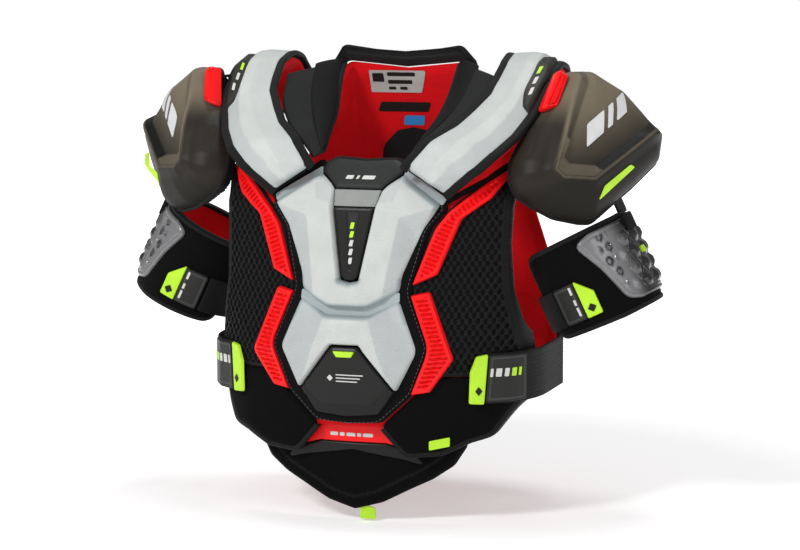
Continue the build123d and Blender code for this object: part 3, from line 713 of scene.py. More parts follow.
def stitches(name, path, form, rise, finish, length=3.0, gap=1.6, thick=0.75, body=None, closed=False):
    """A row of sewing thread stitches along a path, each a short rounded bar."""
    line = spaced([tuple(p[:2]) for p in path], length + gap, closed)
    points, faces = [], []
    for here, there in zip(line[:-1], line[1:]):
        way = (there - here) / max(np.linalg.norm(there - here), 1e-6)
        left = np.array([-way[1], way[0]])
        first = len(points)
        for along, swell in ((0, 0.45), (0.15, 1), (0.85, 1), (1, 0.45)):
            centre = here + way * length * along
            for k in range(6):
                a = pi * k / 3
                spot = centre + left * cos(a) * thick * swell / 2
                points.append((spot[0], spot[1], rise + sin(a) * thick * swell / 2))
        for ring in range(3):
            for k in range(6):
                a, b = first + ring * 6 + k, first + ring * 6 + (k + 1) % 6
                faces.append((a, a + 6, b + 6, b))
        faces += [tuple(first + k for k in range(6)), tuple(first + 23 - k for k in range(6))]
    points = np.array(points)
    placed = form(points[:, 0], points[:, 1], points[:, 2])
    obj = new_piece(name, placed, faces, points[:, :2], np.zeros(len(points)), finish, 60)
    return settle(obj, body)


# Ribbed elastic binding tape: fine cross ribs with a dull shine.
BINDING = surface("binding", (0.0062, 0.0064, 0.0064), 0.55, (0.05, 0.05, 0.05),
                  [(lines, 0.8, 1.5, 0), (grain, 0.35, 1.4)], 0.5, sheen=0.03, shine=0.14)
THREAD = printed("thread_grey", (0.07, 0.07, 0.07), 0.6)
DARK_LABEL = leather("label_charcoal", (0.022, 0.022, 0.018), 0.46)

inner_edge = [front_spot(x, z) for x, z in
              [(47, -92), (68, -66), (90, -51), (102, -37), (113, -22), (116, -9), (118, 4)]]
back_inner = [back_spot(x, z) for x, z in [(116, 4), (112, -16), (98, -50), (96, -62)]]
back_outer = [back_spot(x, z) for x, z in [(128, -62), (150, -40), (166, -12), (168, 4)]]
outer_edge = [front_spot(x, z) for x, z in
              [(168, -8), (165, -26), (160, -42), (150, -61), (137, -76), (120, -92), (103, -105),
               (88, -118)]]
arch_outline = [(x, s, 16) for x, s, _ in inner_edge + back_inner + back_outer + outer_edge]
arch_outline[0] = (*arch_outline[0][:2], 3)
arch_outline[-1] = (*arch_outline[-1][:2], 3)
inner_line = [p[:2] for p in inner_edge + back_inner]
outer_line = [p[:2] for p in back_outer + outer_edge]
groove_line = [inner_edge[0][:2], outer_edge[-1][:2]]


def arch_top(u, v, d):
    outer = np.abs(side_of(u, v, outer_line))
    inner = np.abs(side_of(u, v, inner_line))
    foot = np.abs(side_of(u, v, groove_line))
    height = 7.5 - 0.42 * np.maximum(17 - outer, 0) - 0.20 * np.maximum(24 - inner, 0)
    height -= 0.5 * np.maximum(9 - foot, 0)
    # Painted shade: blue-grey in the groove at the arch's foot and on the facets that fall towards both
    # edges.
    tone_and_painted_light = np.where((foot < 9) & (v < 70), 0.75 * (1 - soft_step(foot, 2.5, 6.5)), 0)
    facet_shade = 0.26 * soft_step(17 - outer, 0, 1.2) + 0.12 * soft_step(24 - inner, 0, 1.2)
    return np.maximum(height, 1.6) * dome(d, 4, 0.3, 1.0), np.maximum(tone_and_painted_light, facet_shade)


def shrunk(outline, amount):
    """An outline moved inwards all round."""
    ring = anticlockwise(spaced(rounded(outline), 3))
    run = np.roll(ring, -2, axis=0) - np.roll(ring, 2, axis=0)
    moved = ring + left_of(run) * amount
    depth = np.abs(side_of(moved[:, 0], moved[:, 1], np.vstack([ring, ring[:1]])))
    return [tuple(p) for p in moved[depth > amount * 0.93]]


paired(panel, "shoulder_arch", shrunk(arch_outline, 2.5), arch, arch_top, WHITE, BACK, ["shoulder_arch"],
       floor=-1.5, step=2.0, corner=0, slot="white_plate", smooth=28)
paired(panel, "arch_carrier", arch_outline, arch, domed(3, -2.5, 0.4), BORDER, BACK,
       floor=-4.2, step=3.5, slot="neoprene")
for foam in paired(panel, "arch_liner", arch_outline, arch, flat_at(-4.3), RED_CLOTH, BACK,
                   ["arch_liner"], floor=lambda u, v, d: -13.6 + 0.5 * np.maximum(9 - d, 0), step=3.5,
                   slot="red_liner"):
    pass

# Binding tape folded over both edges of the arch, with a row of stitches on the neck side.
tape = oval(8.4, 5.2)
paired(ribbon, "arch_binding_inner", inner_line, arch, tape, BINDING, BACK, floor=0.6, step=1.5,
       slot="black_trim")
paired(ribbon, "arch_binding_outer", outer_line, arch, oval(8.4, 6.2), BINDING, BACK, floor=-0.6, step=1.5,
       slot="black_trim")


def stitched(name, outline, form, rise, finish, body, nodes=()):
    """A row of stitches in the shape that paired() asks for."""
    return stitches(name, outline, form, rise, finish, body=body)


thread_line = [(x + 5.2, s) for x, s in inner_line]
paired(stitched, "arch_stitch_inner", thread_line, arch, 2.4, THREAD, BACK)

# Soft label at the outer end of the arch with three small generic bars.
label = [front_spot(*p) for p in
         [(150, -36, 3), (145, -22, 4), (151, 8, 8), (166, 8, 3), (167, -8), (163, -26), (158, -41, 1)]]


def label_top(u, v, d):
    return 4.6 + dome(d, 5, -2.4, 2.6), 0.0 * u


paired(panel, "arch_label", label, arch, label_top, DARK_LABEL, BACK, ["arch_label"], floor=1.0,
       step=1.4, corner=3, slot="charcoal_label")
for k, colour in enumerate((PALE, PALE, LIME)):
    low = front_spot(153.6 + 0.6 * k, -27 + 9.5 * k)
    high = front_spot(154.8 + 0.6 * k, -19.5 + 9.5 * k)
    bar = [(low[0], low[1]), (low[0] + 3.4, low[1] + 2), (high[0] + 3.4, high[1]), (high[0], high[1] - 2)]
    paired(panel, f"arch_label_mark_{k}", bar, arch, flat_at(7.5), colour, BACK,
           floor=6.8, step=1, corner=0.3, rows=())

# ---------------------------------------------------------------------------------------------
# The collar. Two rolls of charcoal neoprene that fall from the arches to the neck rim, joined
# behind the neck by a padded back collar; edges piped.
# ---------------------------------------------------------------------------------------------


def curve(points, count):
    """Points along a smooth curve through a few given places."""
    given = np.array(points, float)
    at = lengths_along(given)
    slope = np.gradient(given, at, axis=0)
    want = np.linspace(0, at[-1], count)
    k = np.clip(np.searchsorted(at, want, side="right") - 1, 0, len(at) - 2)
    width = (at[k + 1] - at[k])[:, None]
    t = ((want - at[k])[:, None]) / width
    return ((2 * t ** 3 - 3 * t ** 2 + 1) * given[k] + (t ** 3 - 2 * t ** 2 + t) * width * slope[k]
            + (3 * t ** 2 - 2 * t ** 3) * given[k + 1] + (t ** 3 - t ** 2) * width * slope[k + 1])


def pillow(name, first, second, thick, finish, bulge=0.0, edge=0.4, out=1.0, across=18, step=2.0, body=None,
           nodes=()):
    """A padded strip stretched between two curves, with rounded edges and an outward bulge."""
    count = max(8, int(np.linalg.norm(np.diff(np.array(first, float), axis=0), axis=1).sum() / step))
    a, b = curve(first, count), curve(second, count)
    along = np.gradient((a + b) / 2, axis=0)
    over = b - a
    normal = np.cross(over, along) * out
    normal /= np.linalg.norm(normal, axis=1)[:, None]
    share = (1 - np.cos(np.linspace(0, pi, across))) / 2
    half = thick / 2 * np.clip(1 - (2 * share - 1) ** 6, 0, 1) ** edge
    arc = bulge * (1 - (2 * share - 1) ** 2)
    points, spots = [], []
    for k in range(count):
        ends = min(1.0, (min(k, count - 1 - k) + 0.35) * step / thick)
        swell = sqrt(max(0.05, 1 - (1 - ends) ** 2))
        base = a[k] + over[k] * share[:, None]
        top = base + normal[k] * (arc + half * swell)[:, None]
        low = base + normal[k] * (arc - half * swell)[:, None]
        points += list(top) + list(low[::-1][1:-1])
        width = np.linalg.norm(over[k])
        spots += [(k * step, s * width) for s in share] + [(k * step, s * width) for s in share[::-1][1:-1]]
    ring = 2 * across - 2
    faces = []
    for k in range(count - 1):
        for j in range(ring):
            p, q = k * ring + j, k * ring + (j + 1) % ring
            faces.append((p, p + ring, q + ring, q) if out < 0 else (p, q, q + ring, p + ring))
    ends = [tuple(range(ring)), tuple((count - 1) * ring + j for j in range(ring))]
    faces += [ends[0] if out < 0 else ends[0][::-1], ends[1][::-1] if out < 0 else ends[1]]
    obj = new_piece(name, points, faces, spots, np.zeros(len(points)), finish, 50)
    return settle(obj, body, nodes)


def mirror_x(points):
    return [(-x, y, z) for x, y, z in points]


collar_rim = [(47, -52, -80), (50, -26, -63), (53, 2, -45), (57, 22, -24), (59, 38, -4), (59, 47, 5)]
collar_hem = [(51, -76, -84), (70, -64, -66), (88, -48, -52), (103, -25, -33), (108, -6, -18), (110, 8, -6)]
COLLAR = neoprene("collar_neoprene", (0.016, 0.0165, 0.017), 0.7)
for side, sign in (("left", 1), ("right", -1)):
    turned = list if sign > 0 else mirror_x
    roll = pillow(f"collar_side_{side}", turned(collar_rim), turned(collar_hem), 4.4, COLLAR, 1.5, out=sign,
                  body=BACK, nodes=[f"collar_side_{side}"])
    low = [(x + 2, y + 3.5, z + 3.5) for x, y, z in collar_rim]
    high = [(x * 0.55 + rx * 0.45, y * 0.55 + ry * 0.45 + 2.5, z * 0.55 + rz * 0.45 + 5)
            for (x, y, z), (rx, ry, rz) in zip(collar_hem, collar_rim)]
    fold = pillow(f"collar_roll_{side}", turned(low), turned(high), 5.0, NEOPRENE, 2.0, out=sign, body=BACK)

# Back collar: a padded stand-up roll with two soft peaks.
back_line = np.array([(-350, 527), (-200, 527), (-130, 517), (-66, 497), (-20, 483), (20, 464), (30, 458)],
                     float)
back_axis, back_thickness = -400, 12


def back(u, v, rise):
    """Outer side of the back: u is -x, v is z."""
    radius = np.interp(v, back_line[:, 0], back_line[:, 1]) + rise
    return np.stack([-u, back_axis + np.sqrt(radius ** 2 - u ** 2), v + 0 * u], axis=1)


def back_inside(u, v, rise):
    """Inner side of the back, which faces the wearer: u is x, rise runs forwards."""
    radius = np.interp(v, back_line[:, 0], back_line[:, 1]) - back_thickness - rise
    return np.stack([u, back_axis + np.sqrt(radius ** 2 - u ** 2), v + 0 * u], axis=1)


back_collar = both_sides([(0, 17), (30, 19, 40), (63, 24, 8), (76, 8, 6), (78, -5, 5), (61, 7, 12), (0, 1)])
roll = panel("back_collar", back_collar, back, domed(7, -8, -1), COLLAR,
             lambda u, v, d: -8.5 - 6.0 * np.clip(d / 7, 0, 1), 2, 4, body=BACK, slot="neoprene",
             nodes=["back_collar"])
collar_edge = [(-70, 10), (-62, 21), (-30, 18), (0, 15.5), (30, 18), (62, 21), (70, 10)]
ribbon("back_collar_piping_front", collar_edge, back_inside, oval(3, 3, 8, 1), BINDING, 3.5, 2, body=BACK)

# ---------------------------------------------------------------------------------------------
# The back. Red padded liner inside, black carrier plate, ribbed spine guard and kidney pad.
# ---------------------------------------------------------------------------------------------
back_half = [(0, 0), (60, 6, 8), (76, -6, 8), (94, -46), (96, -62.3), (127, -62.3, 3), (115, -84, 14),
             (117, -110, 20), (129, -150, 30), (145, -200, 40), (150, -240, 30), (150, -310, 24),
             (120, -330, 24), (0, -340)]


def liner_floor(u, v, d):
    quilt = 1.2 * np.exp(-((np.abs(u) - 58) / 2.5) ** 2) + 1.2 * np.exp(-((v + 232) / 2.5) ** 2)
    return -12.3 + quilt + 0.55 * np.maximum(8 - d, 0)


liner = panel("back_liner", both_sides(back_half), back, flat_at(-4.3), RED_CLOTH,
              liner_floor, 3, 2, body=BACK, slot="red_liner", nodes=["back_liner"])
plate_half = [(0, -4), (58, -6, 8), (90, -64, 20), (102, -110, 30), (118, -160, 30), (132, -210, 30),
              (136, -290, 20), (108, -318, 20), (0, -326)]


def plate_top(u, v, d):
    ribs = np.cos(v / 11 * 2 * pi) * soft_step(np.abs(u), 66, 72) * soft_step(d, 6, 10)
    return dome(d, 4, -3, 0.0) + 0.9 * ribs, 0.4 * soft_step(ribs, 0, 1)


panel("back_plate", both_sides(plate_half), back, plate_top, BLACK, -4.2, 2.4, 2, body=BACK,
      slot="black_shell", nodes=["back_plate"])
slot_pitch = 24
guard_half = [(0, -30), (40, -40, 12), (62, -80, 16), (54, -150, 30), (44, -220, 14), (0, -240)]


def guard_top(u, v, d):
    level = (v + 4) / slot_pitch
    slot_row = np.abs(level - np.round(level)) * slot_pitch
    groove = (1 - soft_step(slot_row, 1.5, 3.5)) * soft_step(d, 5, 8)
    spine = (1 - soft_step(np.abs(np.abs(u) - 15), 1.0, 3.0)) * soft_step(d, 6, 9)
    sunk = np.maximum(groove, spine)
    return dome(d, 9, 0.6, 9.0) - 3.2 * sunk, 0.7 * sunk


panel("spine_guard", both_sides(guard_half), back, guard_top, BLACK, 0.2, 1.8, 4, body=BACK,
      slot="black_shell", nodes=["spine_guard"])
kidney_half = [(0, -248), (50, -232, 14), (104, -240, 12), (112, -290, 16), (96, -308, 12), (0, -314)]


def kidney_top(u, v, d):
    seam = (1 - soft_step(np.abs(np.abs(u) - 34), 0.8, 4.0)) * soft_step(d, 3, 6)
    return dome(d, 12, 0.6, 8.6) - 3.5 * seam, 0.5 * seam


kidney = panel("kidney_pad", both_sides(kidney_half), back, kidney_top, NEOPRENE, 0.2, 2, 4, body=BACK,
               slot="black_shell", nodes=["kidney_pad"])

# Inner label and breathing panel on the liner, facing the wearer.
SILVER_LABEL = woven("silver_label", (0.42, 0.42, 0.40), 0.7, 0.6, (0.02, 0.02, 0.02))
tag = [(-41, -3), (20, -3), (13, -26), (-41, -26)]
panel("size_label", tag, back_inside, flat_at(1.2), SILVER_LABEL, 0.1, 2, 1, (), body=BACK,
      slot="grey_label", nodes=["size_label"])
for k, box in enumerate([(-38, -15, 12, 9), (-22, -9, 30, 4), (-22, -17, 26, 4), (-22, -23, 8, 3),
                         (-10, -23, 8, 3)]):
    panel(f"size_label_mark_{k}", bar_shape(*box), back_inside, flat_at(1.6), BLACK, 1.0, 2, 0.4, (),
          body=BACK)
BLUE = printed("blue_tag", (0.02, 0.22, 0.55))
for name, box, finish in (("inner_tag_black", (-36, -46, 54, 10, 4), BLACK),
                          ("inner_tag_blue", (-10, -60, 22, 10, 2), BLUE)):
    panel(name, bar_shape(*box), back_inside, flat_at(0.8), finish, 0.1, 2, 1, (), body=BACK)
vent = both_sides([(0, -62), (18, -66, 10), (34, -82, 16), (40, -110, 20), (40, -190, 12), (28, -215, 12),
                   (0, -222)])
panel("back_vent_panel", vent, back_inside, domed(2, 0.5, 1.6), MESH, 0.1, 2.5, 2,
      body=BACK, slot="black_mesh", nodes=["back_vent_panel"])

# ---------------------------------------------------------------------------------------------
# The shoulder caps. A moulded shell with sharp styled creases over soft foam, hung on webbing
# from the arch's outer edge; a glossy red block covers the webbing.
# ---------------------------------------------------------------------------------------------

cap_turn, cap_tilt = radians(41), radians(18)
cap_origin = np.array([206.0, -9.0, -76.5])
cap_right = np.array([cos(cap_turn), sin(cap_turn), 0.0])
cap_out = np.array([sin(cap_turn) * cos(cap_tilt), -cos(cap_turn) * cos(cap_tilt), sin(cap_tilt)])
cap_up = np.cross(cap_out, cap_right)


def cap(u, v, rise):
    """The cap's own frame: u to the side, v up, rise outwards from the rim's plane."""
    u, v, rise = (np.asarray(a, float)[:, None] for a in (u, v, rise))
    return cap_origin + u * cap_right + v * cap_up + rise * cap_out


cap_outline = [(-14, 79, 14), (14, 79, 12), (29, 69, 16), (46, 58, 16), (75, 22, 10), (84, 12, 7),
               (76, -14, 9), (46, -37, 16), (27, -50, 14), (-5, -72, 16), (-18, -71, 16), (-44, -65, 24),
               (-67, -52, 20), (-81, -41, 16), (-85, -26, 14), (-81, -8, 20), (-62, 20, 24), (-34, 48, 24)]
cap_ring = spaced(rounded(cap_outline), 2.5)
cap_closed = np.vstack([cap_ring, cap_ring[:1]])
crest = [(-8, 90), (-8, 70), (-52, -25), (-44, -33), (-12, -36), (60, 9), (95, 30)]
valley = [(6, 90), (3, 66), (-38, -12), (-34, -18), (-8, -21), (52, 15), (92, 42)]
hollow = [(-26, 84), (-30, 62), (-56, 16), (-66, -8), (-95, -20)]


def cap_roll(d):
    """Height of the rolled rim at a distance d in from the edge."""
    return 34 * np.sqrt(1 - (1 - np.clip(d / 38, 0, 1)) ** 2)


def cap_height(u, v, d=None):
    """Outer face: a rolled rim, a raised crease line and a sunken main face inside it."""
    if d is None:
        d = np.abs(side_of(u, v, cap_closed))
    roll = cap_roll(d)
    from_crest, from_valley = side_of(u, v, crest), side_of(u, v, valley)
    rise = 4.2 * soft_step(from_crest, -12, 0)
    share = np.clip(from_crest / np.maximum(from_crest - from_valley, 1e-3), 0, 1)
    slope = np.where(from_valley > 0, 1, share)
    sunk = 7.2 * np.where(from_crest > 0, slope, 0) - 1.8 * soft_step(from_valley, 4, 34)
    pocket = 2.2 * soft_step(-side_of(u, v, hollow), 0, 3.5)
    fade = soft_step(d, 2, 12)
    return np.maximum(roll + (rise - sunk - pocket) * fade, 0)


def cap_top(u, v, d):
    from_crest, from_valley = side_of(u, v, crest), side_of(u, v, valley)
    # The second colour darkens the face towards the bottom and beyond the crest on the lower band; it adds
    # painted shade on the crease wall's upper run, a painted highlight on its lower run and a painted
    # highlight line along the crest.
    cap_tone_and_painted_light = 0.95 * soft_step(-v + 0.25 * u + 0.2 * np.maximum(u, 0), -58, 34)
    beyond = 0.9 * soft_step(-from_crest, 1, 4) * soft_step(-v - 0.45 * u, -46, 4)
    wall = soft_step(from_crest, 1, 3) * soft_step(-from_valley, 0, 2)
    cap_tone_and_painted_light = np.maximum(cap_tone_and_painted_light, beyond) + wall * np.where(u + 0.9 * v > -28, 0.35, -0.45)
    cap_tone_and_painted_light -= 0.5 * (1 - soft_step(np.abs(from_crest), 0.3, 1.8))
    rim_line = 1 - soft_step(np.abs(d - 3.6), 0.3, 1.1)
    return cap_height(u, v, d) - 0.7 * rim_line, np.clip(cap_tone_and_painted_light, 0, 1)


# Moulded cap film in warm taupe; its near-black second colour darkens it towards the bottom and paints shade
# and highlights along the crease.
CAP = surface("cap_plastic", (0.150, 0.124, 0.088), 0.46, (0.0040, 0.0038, 0.0032),
              [(grain, 0.2, 1.1), (grain, 0.5, 0.05, 2), (cells, 0.08, 1.3)], 0.3, shine=0.13)
CAP_FOAM = velour_black("cap_foam_cloth", (0.006, 0.006, 0.0065))
BLOCK = rubber_red("block_red", (0.80, 0.006, 0.008), 0.16)
METAL_MARK = printed("silver_print", (0.56, 0.56, 0.57), 0.3)


def shell_floor(u, v, d):
    return np.maximum(cap_roll(d - 4) - 7.5, -0.4)


def foam_floor(u, v, d):
    return cap_roll(d - 9) - 17 + 14 * (1 - np.clip(d / 9, 0, 1))


def foam_top(u, v, d):
    return np.maximum(shell_floor(u, v, d) - 0.4, foam_floor(u, v, d) + 1.5), 0.0 * u


paired(panel, "cap_shell", cap_outline, cap, cap_top, CAP, "cap", ["cap_shell"], floor=shell_floor, step=1.5,
       corner=0, rows=(0.6, 1.4, 2.6), slot="cap_shell", smooth=22)
for foam in paired(panel, "cap_foam", shrunk(cap_outline, 1.0), cap, foam_top, CAP_FOAM, "cap", ["cap_foam"],
                   floor=foam_floor, step=3.0, corner=0, slot="neoprene", smooth=50):
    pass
paired(ribbon, "cap_piping", [tuple(p) for p in cap_ring], cap, oval(3.4, 4.4, 10, 1), BINDING, "cap",
       floor=-1.2, step=2, closed=True, slot="black_trim")


def on_cap(low, high):
    """Floor and top that lie on the cap's face."""
    return (lambda u, v, d: cap_height(u, v) + low), (lambda u, v, d: (cap_height(u, v) + high, 0.0 * u))


# Generic welded bars on the main face, and the lime flash on the lower band.
bar_floor, bar_top = on_cap(-0.5, 0.75)
for k, (across, wide) in enumerate([(-14, 20), (11, 6), (22, 13)]):
    up = 15 + 0.7 * across
    bar = [(across, up - 9), (across + wide, up - 9 + 0.7 * wide), (across + wide + 4, up + 14 + 0.7 * wide),
           (across + 4, up + 14)]
    paired(panel, f"cap_emblem_{k}", bar, cap, bar_top, METAL_MARK, "cap", ["cap_emblem"] if k == 0 else [],
           floor=bar_floor, step=1.5, corner=0.8, rows=(0.5,), slot="silver_mark")
flash = [(-7, -56, 1), (0, -42, 3), (31, -22, 2), (37, -24, 0.5)]
paired(panel, "cap_stripe", flash, cap, bar_top, LIME, "cap", ["cap_stripe"], floor=bar_floor, step=1.5,
       corner=1, rows=(0.5,), slot="lime_trim")


def block_top(u, v, d):
    inset = 1 - soft_step(np.abs(d - 4.2), 0.2, 0.9)
    # Painted shade: the sunk inset line is also darkened.
    return 10.5 + dome(d, 3.2, 0, 9.0) - 0.9 * inset, 0.5 * inset


block = [(-24, 80, 5), (-14, 72, 5), (-31, 40, 6), (-50, 37, 5)]
paired(panel, "cap_anchor", block, cap, block_top, BLOCK, "cap", ["cap_anchor"], floor=6.0, step=1.2,
       corner=4, slot="red_gloss", rows=(0.5, 1.2, 2.0, 3.0))
WEBBING = woven("webbing", (0.007, 0.007, 0.0072), 1.5, 0.75)


def tongue(u, v, rise):
    """A level strip of webbing from the arch's edge to the cap."""
    return np.stack([u, v, -8.0 + rise - 0.10 * (u - 170)], axis=1)


tongue_line = [(169.5, -14), (180, -14), (190, -2), (198, 8), (198, 14), (169.5, 14)]
paired(panel, "cap_webbing", tongue_line, tongue, domed(1.5, 0.2, 1.5), WEBBING, "cap",
       floor=-1.5, step=2, corner=1.5)

# ---------------------------------------------------------------------------------------------
# The arm guards. A padded sleeve round the upper arm: red foam inside, black loop pile outside,
# a glossy shell with raised domes on the outer side, and a wide elastic strap across the front.
# ---------------------------------------------------------------------------------------------

arm_tilt = radians(26)
arm_origin = np.array([205.5, 17.0, -196.0])
arm_across = np.array([cos(arm_tilt), 0.0, sin(arm_tilt)])
arm_axis = np.array([-sin(arm_tilt), 0.0, cos(arm_tilt)])
arm_behind = np.array([0.0, 1.0, 0.0])
arm_radius = 56.0


def arm(u, v, rise):
    """Round the sleeve: u is the way round from the outer side towards the back, v along the arm."""
    turn = np.asarray(u, float) / arm_radius
    radius = (arm_radius + np.asarray(rise, float))[:, None]
    spoke = np.cos(turn)[:, None] * arm_across + np.sin(turn)[:, None] * arm_behind
    return arm_origin + spoke * radius + np.asarray(v, float)[:, None] * arm_axis


def arm_inside(u, v, rise):
    """The sleeve's inner face; its map runs the other way round."""
    return arm(-u, v, -rise)


def round_the_arm(degrees_round):
    return radians(degrees_round) * arm_radius


def on_arm(points):
    """An outline round the sleeve, given with degrees as its first numbers."""
    return [(round_the_arm(point[0]), *point[1:]) for point in points]


sleeve = on_arm([(-145, -50, 16), (-60, -53, 20), (60, -50, 20), (145, -46, 16), (145, 30, 16),
                 (40, 38, 30), (-60, 36, 30), (-145, 34, 16)])
for wrap in paired(panel, "arm_wrap", sleeve, arm, domed(6, -4.5, 0), VELOUR, "arm_guard",
                   ["arm_wrap"], floor=-6.0, step=2.6, corner=10, slot="loop_pile"):
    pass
lining = [(-u, v, r) for u, v, r in reversed(sleeve)]
for foam in paired(panel, "arm_lining", lining, arm_inside, domed(6, 6.2, 10), RED_CLOTH,
                   "arm_guard", floor=5.6, step=2.8, corner=10, slot="red_liner"):
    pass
paired(ribbon, "arm_binding", [tuple(p) for p in spaced(rounded(sleeve, 12), 2.5)], arm, oval(5.5, 9.5, 12),
       BINDING, "arm_guard", floor=-4.6, step=1.8, closed=True, slot="black_trim")

# The glossy shell: rows of raised hexagonal domes on the outer side and lens-shaped vents in front.
hex_pitch, hex_rise = 19.0, 19.0 * 0.80
vent_pitch, vent_rise, vent_wide, vent_tall = 10.5, 13.0, 3.1, 5.0
arm_shell = on_arm([(-51, -40, 14), (-36, -45, 16), (95, -44, 16), (110, -30, 14), (110, 26, 14),
                    (30, 35, 20), (-62, 33, 16), (-80, 27, 12), (-64, -4, 16)])


def shell_top(u, v, d):
    row = np.round(v / hex_rise)
    column = np.round(u / hex_pitch - 0.5 * (row % 2))
    across = np.abs(u - (column + 0.5 * (row % 2)) * hex_pitch)
    up = np.abs(v - row * hex_rise)
    size = np.maximum(up * 0.95, up * 0.48 + across * 0.88)
    outer = soft_step(u, round_the_arm(-42), round_the_arm(-32)) * soft_step(d, 7, 10)
    cone = 3.4 * (1 - soft_step(size, 1.6, 8.2))
    dome_up = outer * (cone + 0.7 * (1 - soft_step(np.abs(size - 9.2), 0.2, 0.7)))
    vent_row = np.round(v / vent_rise)
    place = (u - (vent_row % 2) * vent_pitch / 2) / vent_pitch
    off = np.abs(place - np.round(place)) * vent_pitch
    lens = off / vent_wide + ((v - vent_row * vent_rise) / vent_tall) ** 2
    front = 1 - soft_step(u, round_the_arm(-47), round_the_arm(-44))
    front *= soft_step(u, round_the_arm(-59), round_the_arm(-56))
    vent = front * soft_step(d, 5, 7)
    ring_up = vent * 1.5 * (1 - soft_step(np.abs(lens - 0.95), 0.12, 0.4))
    sunk = vent * 1.6 * (1 - soft_step(lens, 0.5, 0.85))
    edge = 1.0 * (1 - soft_step(np.abs(d - 4.5), 0.5, 1.4))
    silver = 1 - soft_step(u, round_the_arm(-44), round_the_arm(-24))
    silver = np.maximum(silver, 0.5 * outer * (1 - soft_step(np.abs(size - 9.2), 0.2, 0.8)))
    silver *= 1 - vent * (1 - soft_step(np.abs(lens - 0.9), 0.15, 0.4))
    return dome(d, 3, 0.6, 3.6) + dome_up + ring_up - sunk - edge * 0.5, silver


# Glossy black moulding that fades to satin silver towards its front edge.
ARM_PLASTIC = surface("arm_silver", (0.011, 0.011, 0.0125), 0.27, (0.16, 0.16, 0.165),
                      [(grain, 0.25, 0.5, 3), (cells, 0.12, 1.2)], 0.3, coat=0.35, metal=0.1)
paired(panel, "arm_shell", arm_shell, arm, shell_top, ARM_PLASTIC, "arm_guard", ["arm_shell"], floor=0.2,
       step=1.15, corner=10, slot="arm_shell", rows=(0.6, 1.4, 2.4), smooth=30)
keeper = on_arm(bar_shape(-20, 20, 20, 17))
paired(panel, "arm_keeper", keeper, arm, lambda u, v, d: (5.6 + dome(d, 1.2, 0, 1.6), 0), WEBBING,
       "arm_guard", floor=3.4, step=1.6, corner=2)
nut = [(round_the_arm(-8) + 4 * cos(pi * k / 3), -2 + 4 * sin(pi * k / 3)) for k in range(6)]
paired(panel, "arm_hex", nut, arm, flat_at(6.6), LIME, "arm_guard", floor=3.0, step=1,
       corner=0.5, rows=(0.5,))

# The strap: elastic that closes the sleeve on the inner side, ending in a lime-tipped pull tab.
strap_low, strap_high = -42, -4
ELASTIC = woven("elastic", (0.0065, 0.0067, 0.007), 1.1, 0.6)
elastic_line = on_arm(bar_shape(112, strap_low, 126, strap_high - strap_low))
paired(panel, "arm_strap", elastic_line, arm, domed(1.2, 0.8, 2.6), ELASTIC, "arm_guard", ["arm_strap"],
       floor=0.3, step=2.2, corner=2, slot="elastic")
tab_patch = on_arm([(240, strap_low, 3), (264, strap_low, 0.5), (264, strap_high, 0.5),
                    (240, strap_high, 3)])
PATCH = leather("patch_grey", (0.018, 0.018, 0.017), 0.46)


def patch_top(u, v, d):
    seam = 1 - soft_step(np.abs(d - 2.8), 0.2, 0.7)
    return dome(d, 1.4, 1.2, 3.4) - 0.5 * seam, 0.8 * seam


paired(panel, "arm_strap_tab", tab_patch, arm, patch_top, PATCH, "arm_tab", ["arm_strap_tab"], floor=0.6,
       step=1.2, corner=2, slot="elastic", rows=(0.6, 1.4, 2.2, 3.2))
tip = on_arm([(264.5, strap_low, 1), (281, strap_low, 2), (281, strap_high - 15, 3), (266, strap_high, 1.5),
              (264.5, strap_high, 1)])
paired(panel, "arm_tab_tip", tip, arm, domed(1.2, 1.0, 2.9), LIME, "arm_tab", floor=0.6,
       step=1.4, corner=2)
for k, wide in enumerate((9, 6, 8)):
    v = strap_low + 5 + 11 * k
    bar = on_arm(bar_shape(258.5, v, 2.3, wide))
    paired(panel, f"arm_tab_mark_{k}", bar, arm, flat_at(4.0), PALE, "arm_tab", floor=2.8,
           step=1, corner=0.4, rows=())
tab_dot = diamond(round_the_arm(273), -33.5, 4.5, 4.5)
paired(panel, "arm_tab_dot", tab_dot, arm, flat_at(3.4), BLACK, "arm_tab", floor=2.4, step=1,
       corner=0.3, rows=())

# The hanger: flat webbing from the arch's edge to the top of the sleeve.
hang_start = np.array([170.6, 0.0, -8.0])
sleeve_reach, sleeve_top = 51, 38.4
hang_end = arm_origin + arm_across * sleeve_reach + arm_axis * sleeve_top
hang_end[1] = 0
hang_way = (hang_end - hang_start) / np.linalg.norm(hang_end - hang_start)
hang_length = float(np.linalg.norm(hang_end - hang_start))
hang_out = np.cross(np.array([0.0, 1.0, 0.0]), hang_way)


def hanger(u, v, rise):
    """u runs from front to back across the webbing, v up it."""
    u, v, rise = (np.asarray(a, float)[:, None] for a in (u, v, rise))
    return hang_end + np.array([0.0, 1.0, 0.0]) * u - hang_way * v - hang_out * rise


strip = bar_shape(17, 0, 34, hang_length + 1)
paired(panel, "arm_hanger", strip, hanger, domed(1, 0.2, 1.0), WEBBING, "arm_hanger",
       ["arm_hanger"], floor=-1.0, step=2.5, corner=1, slot="elastic")

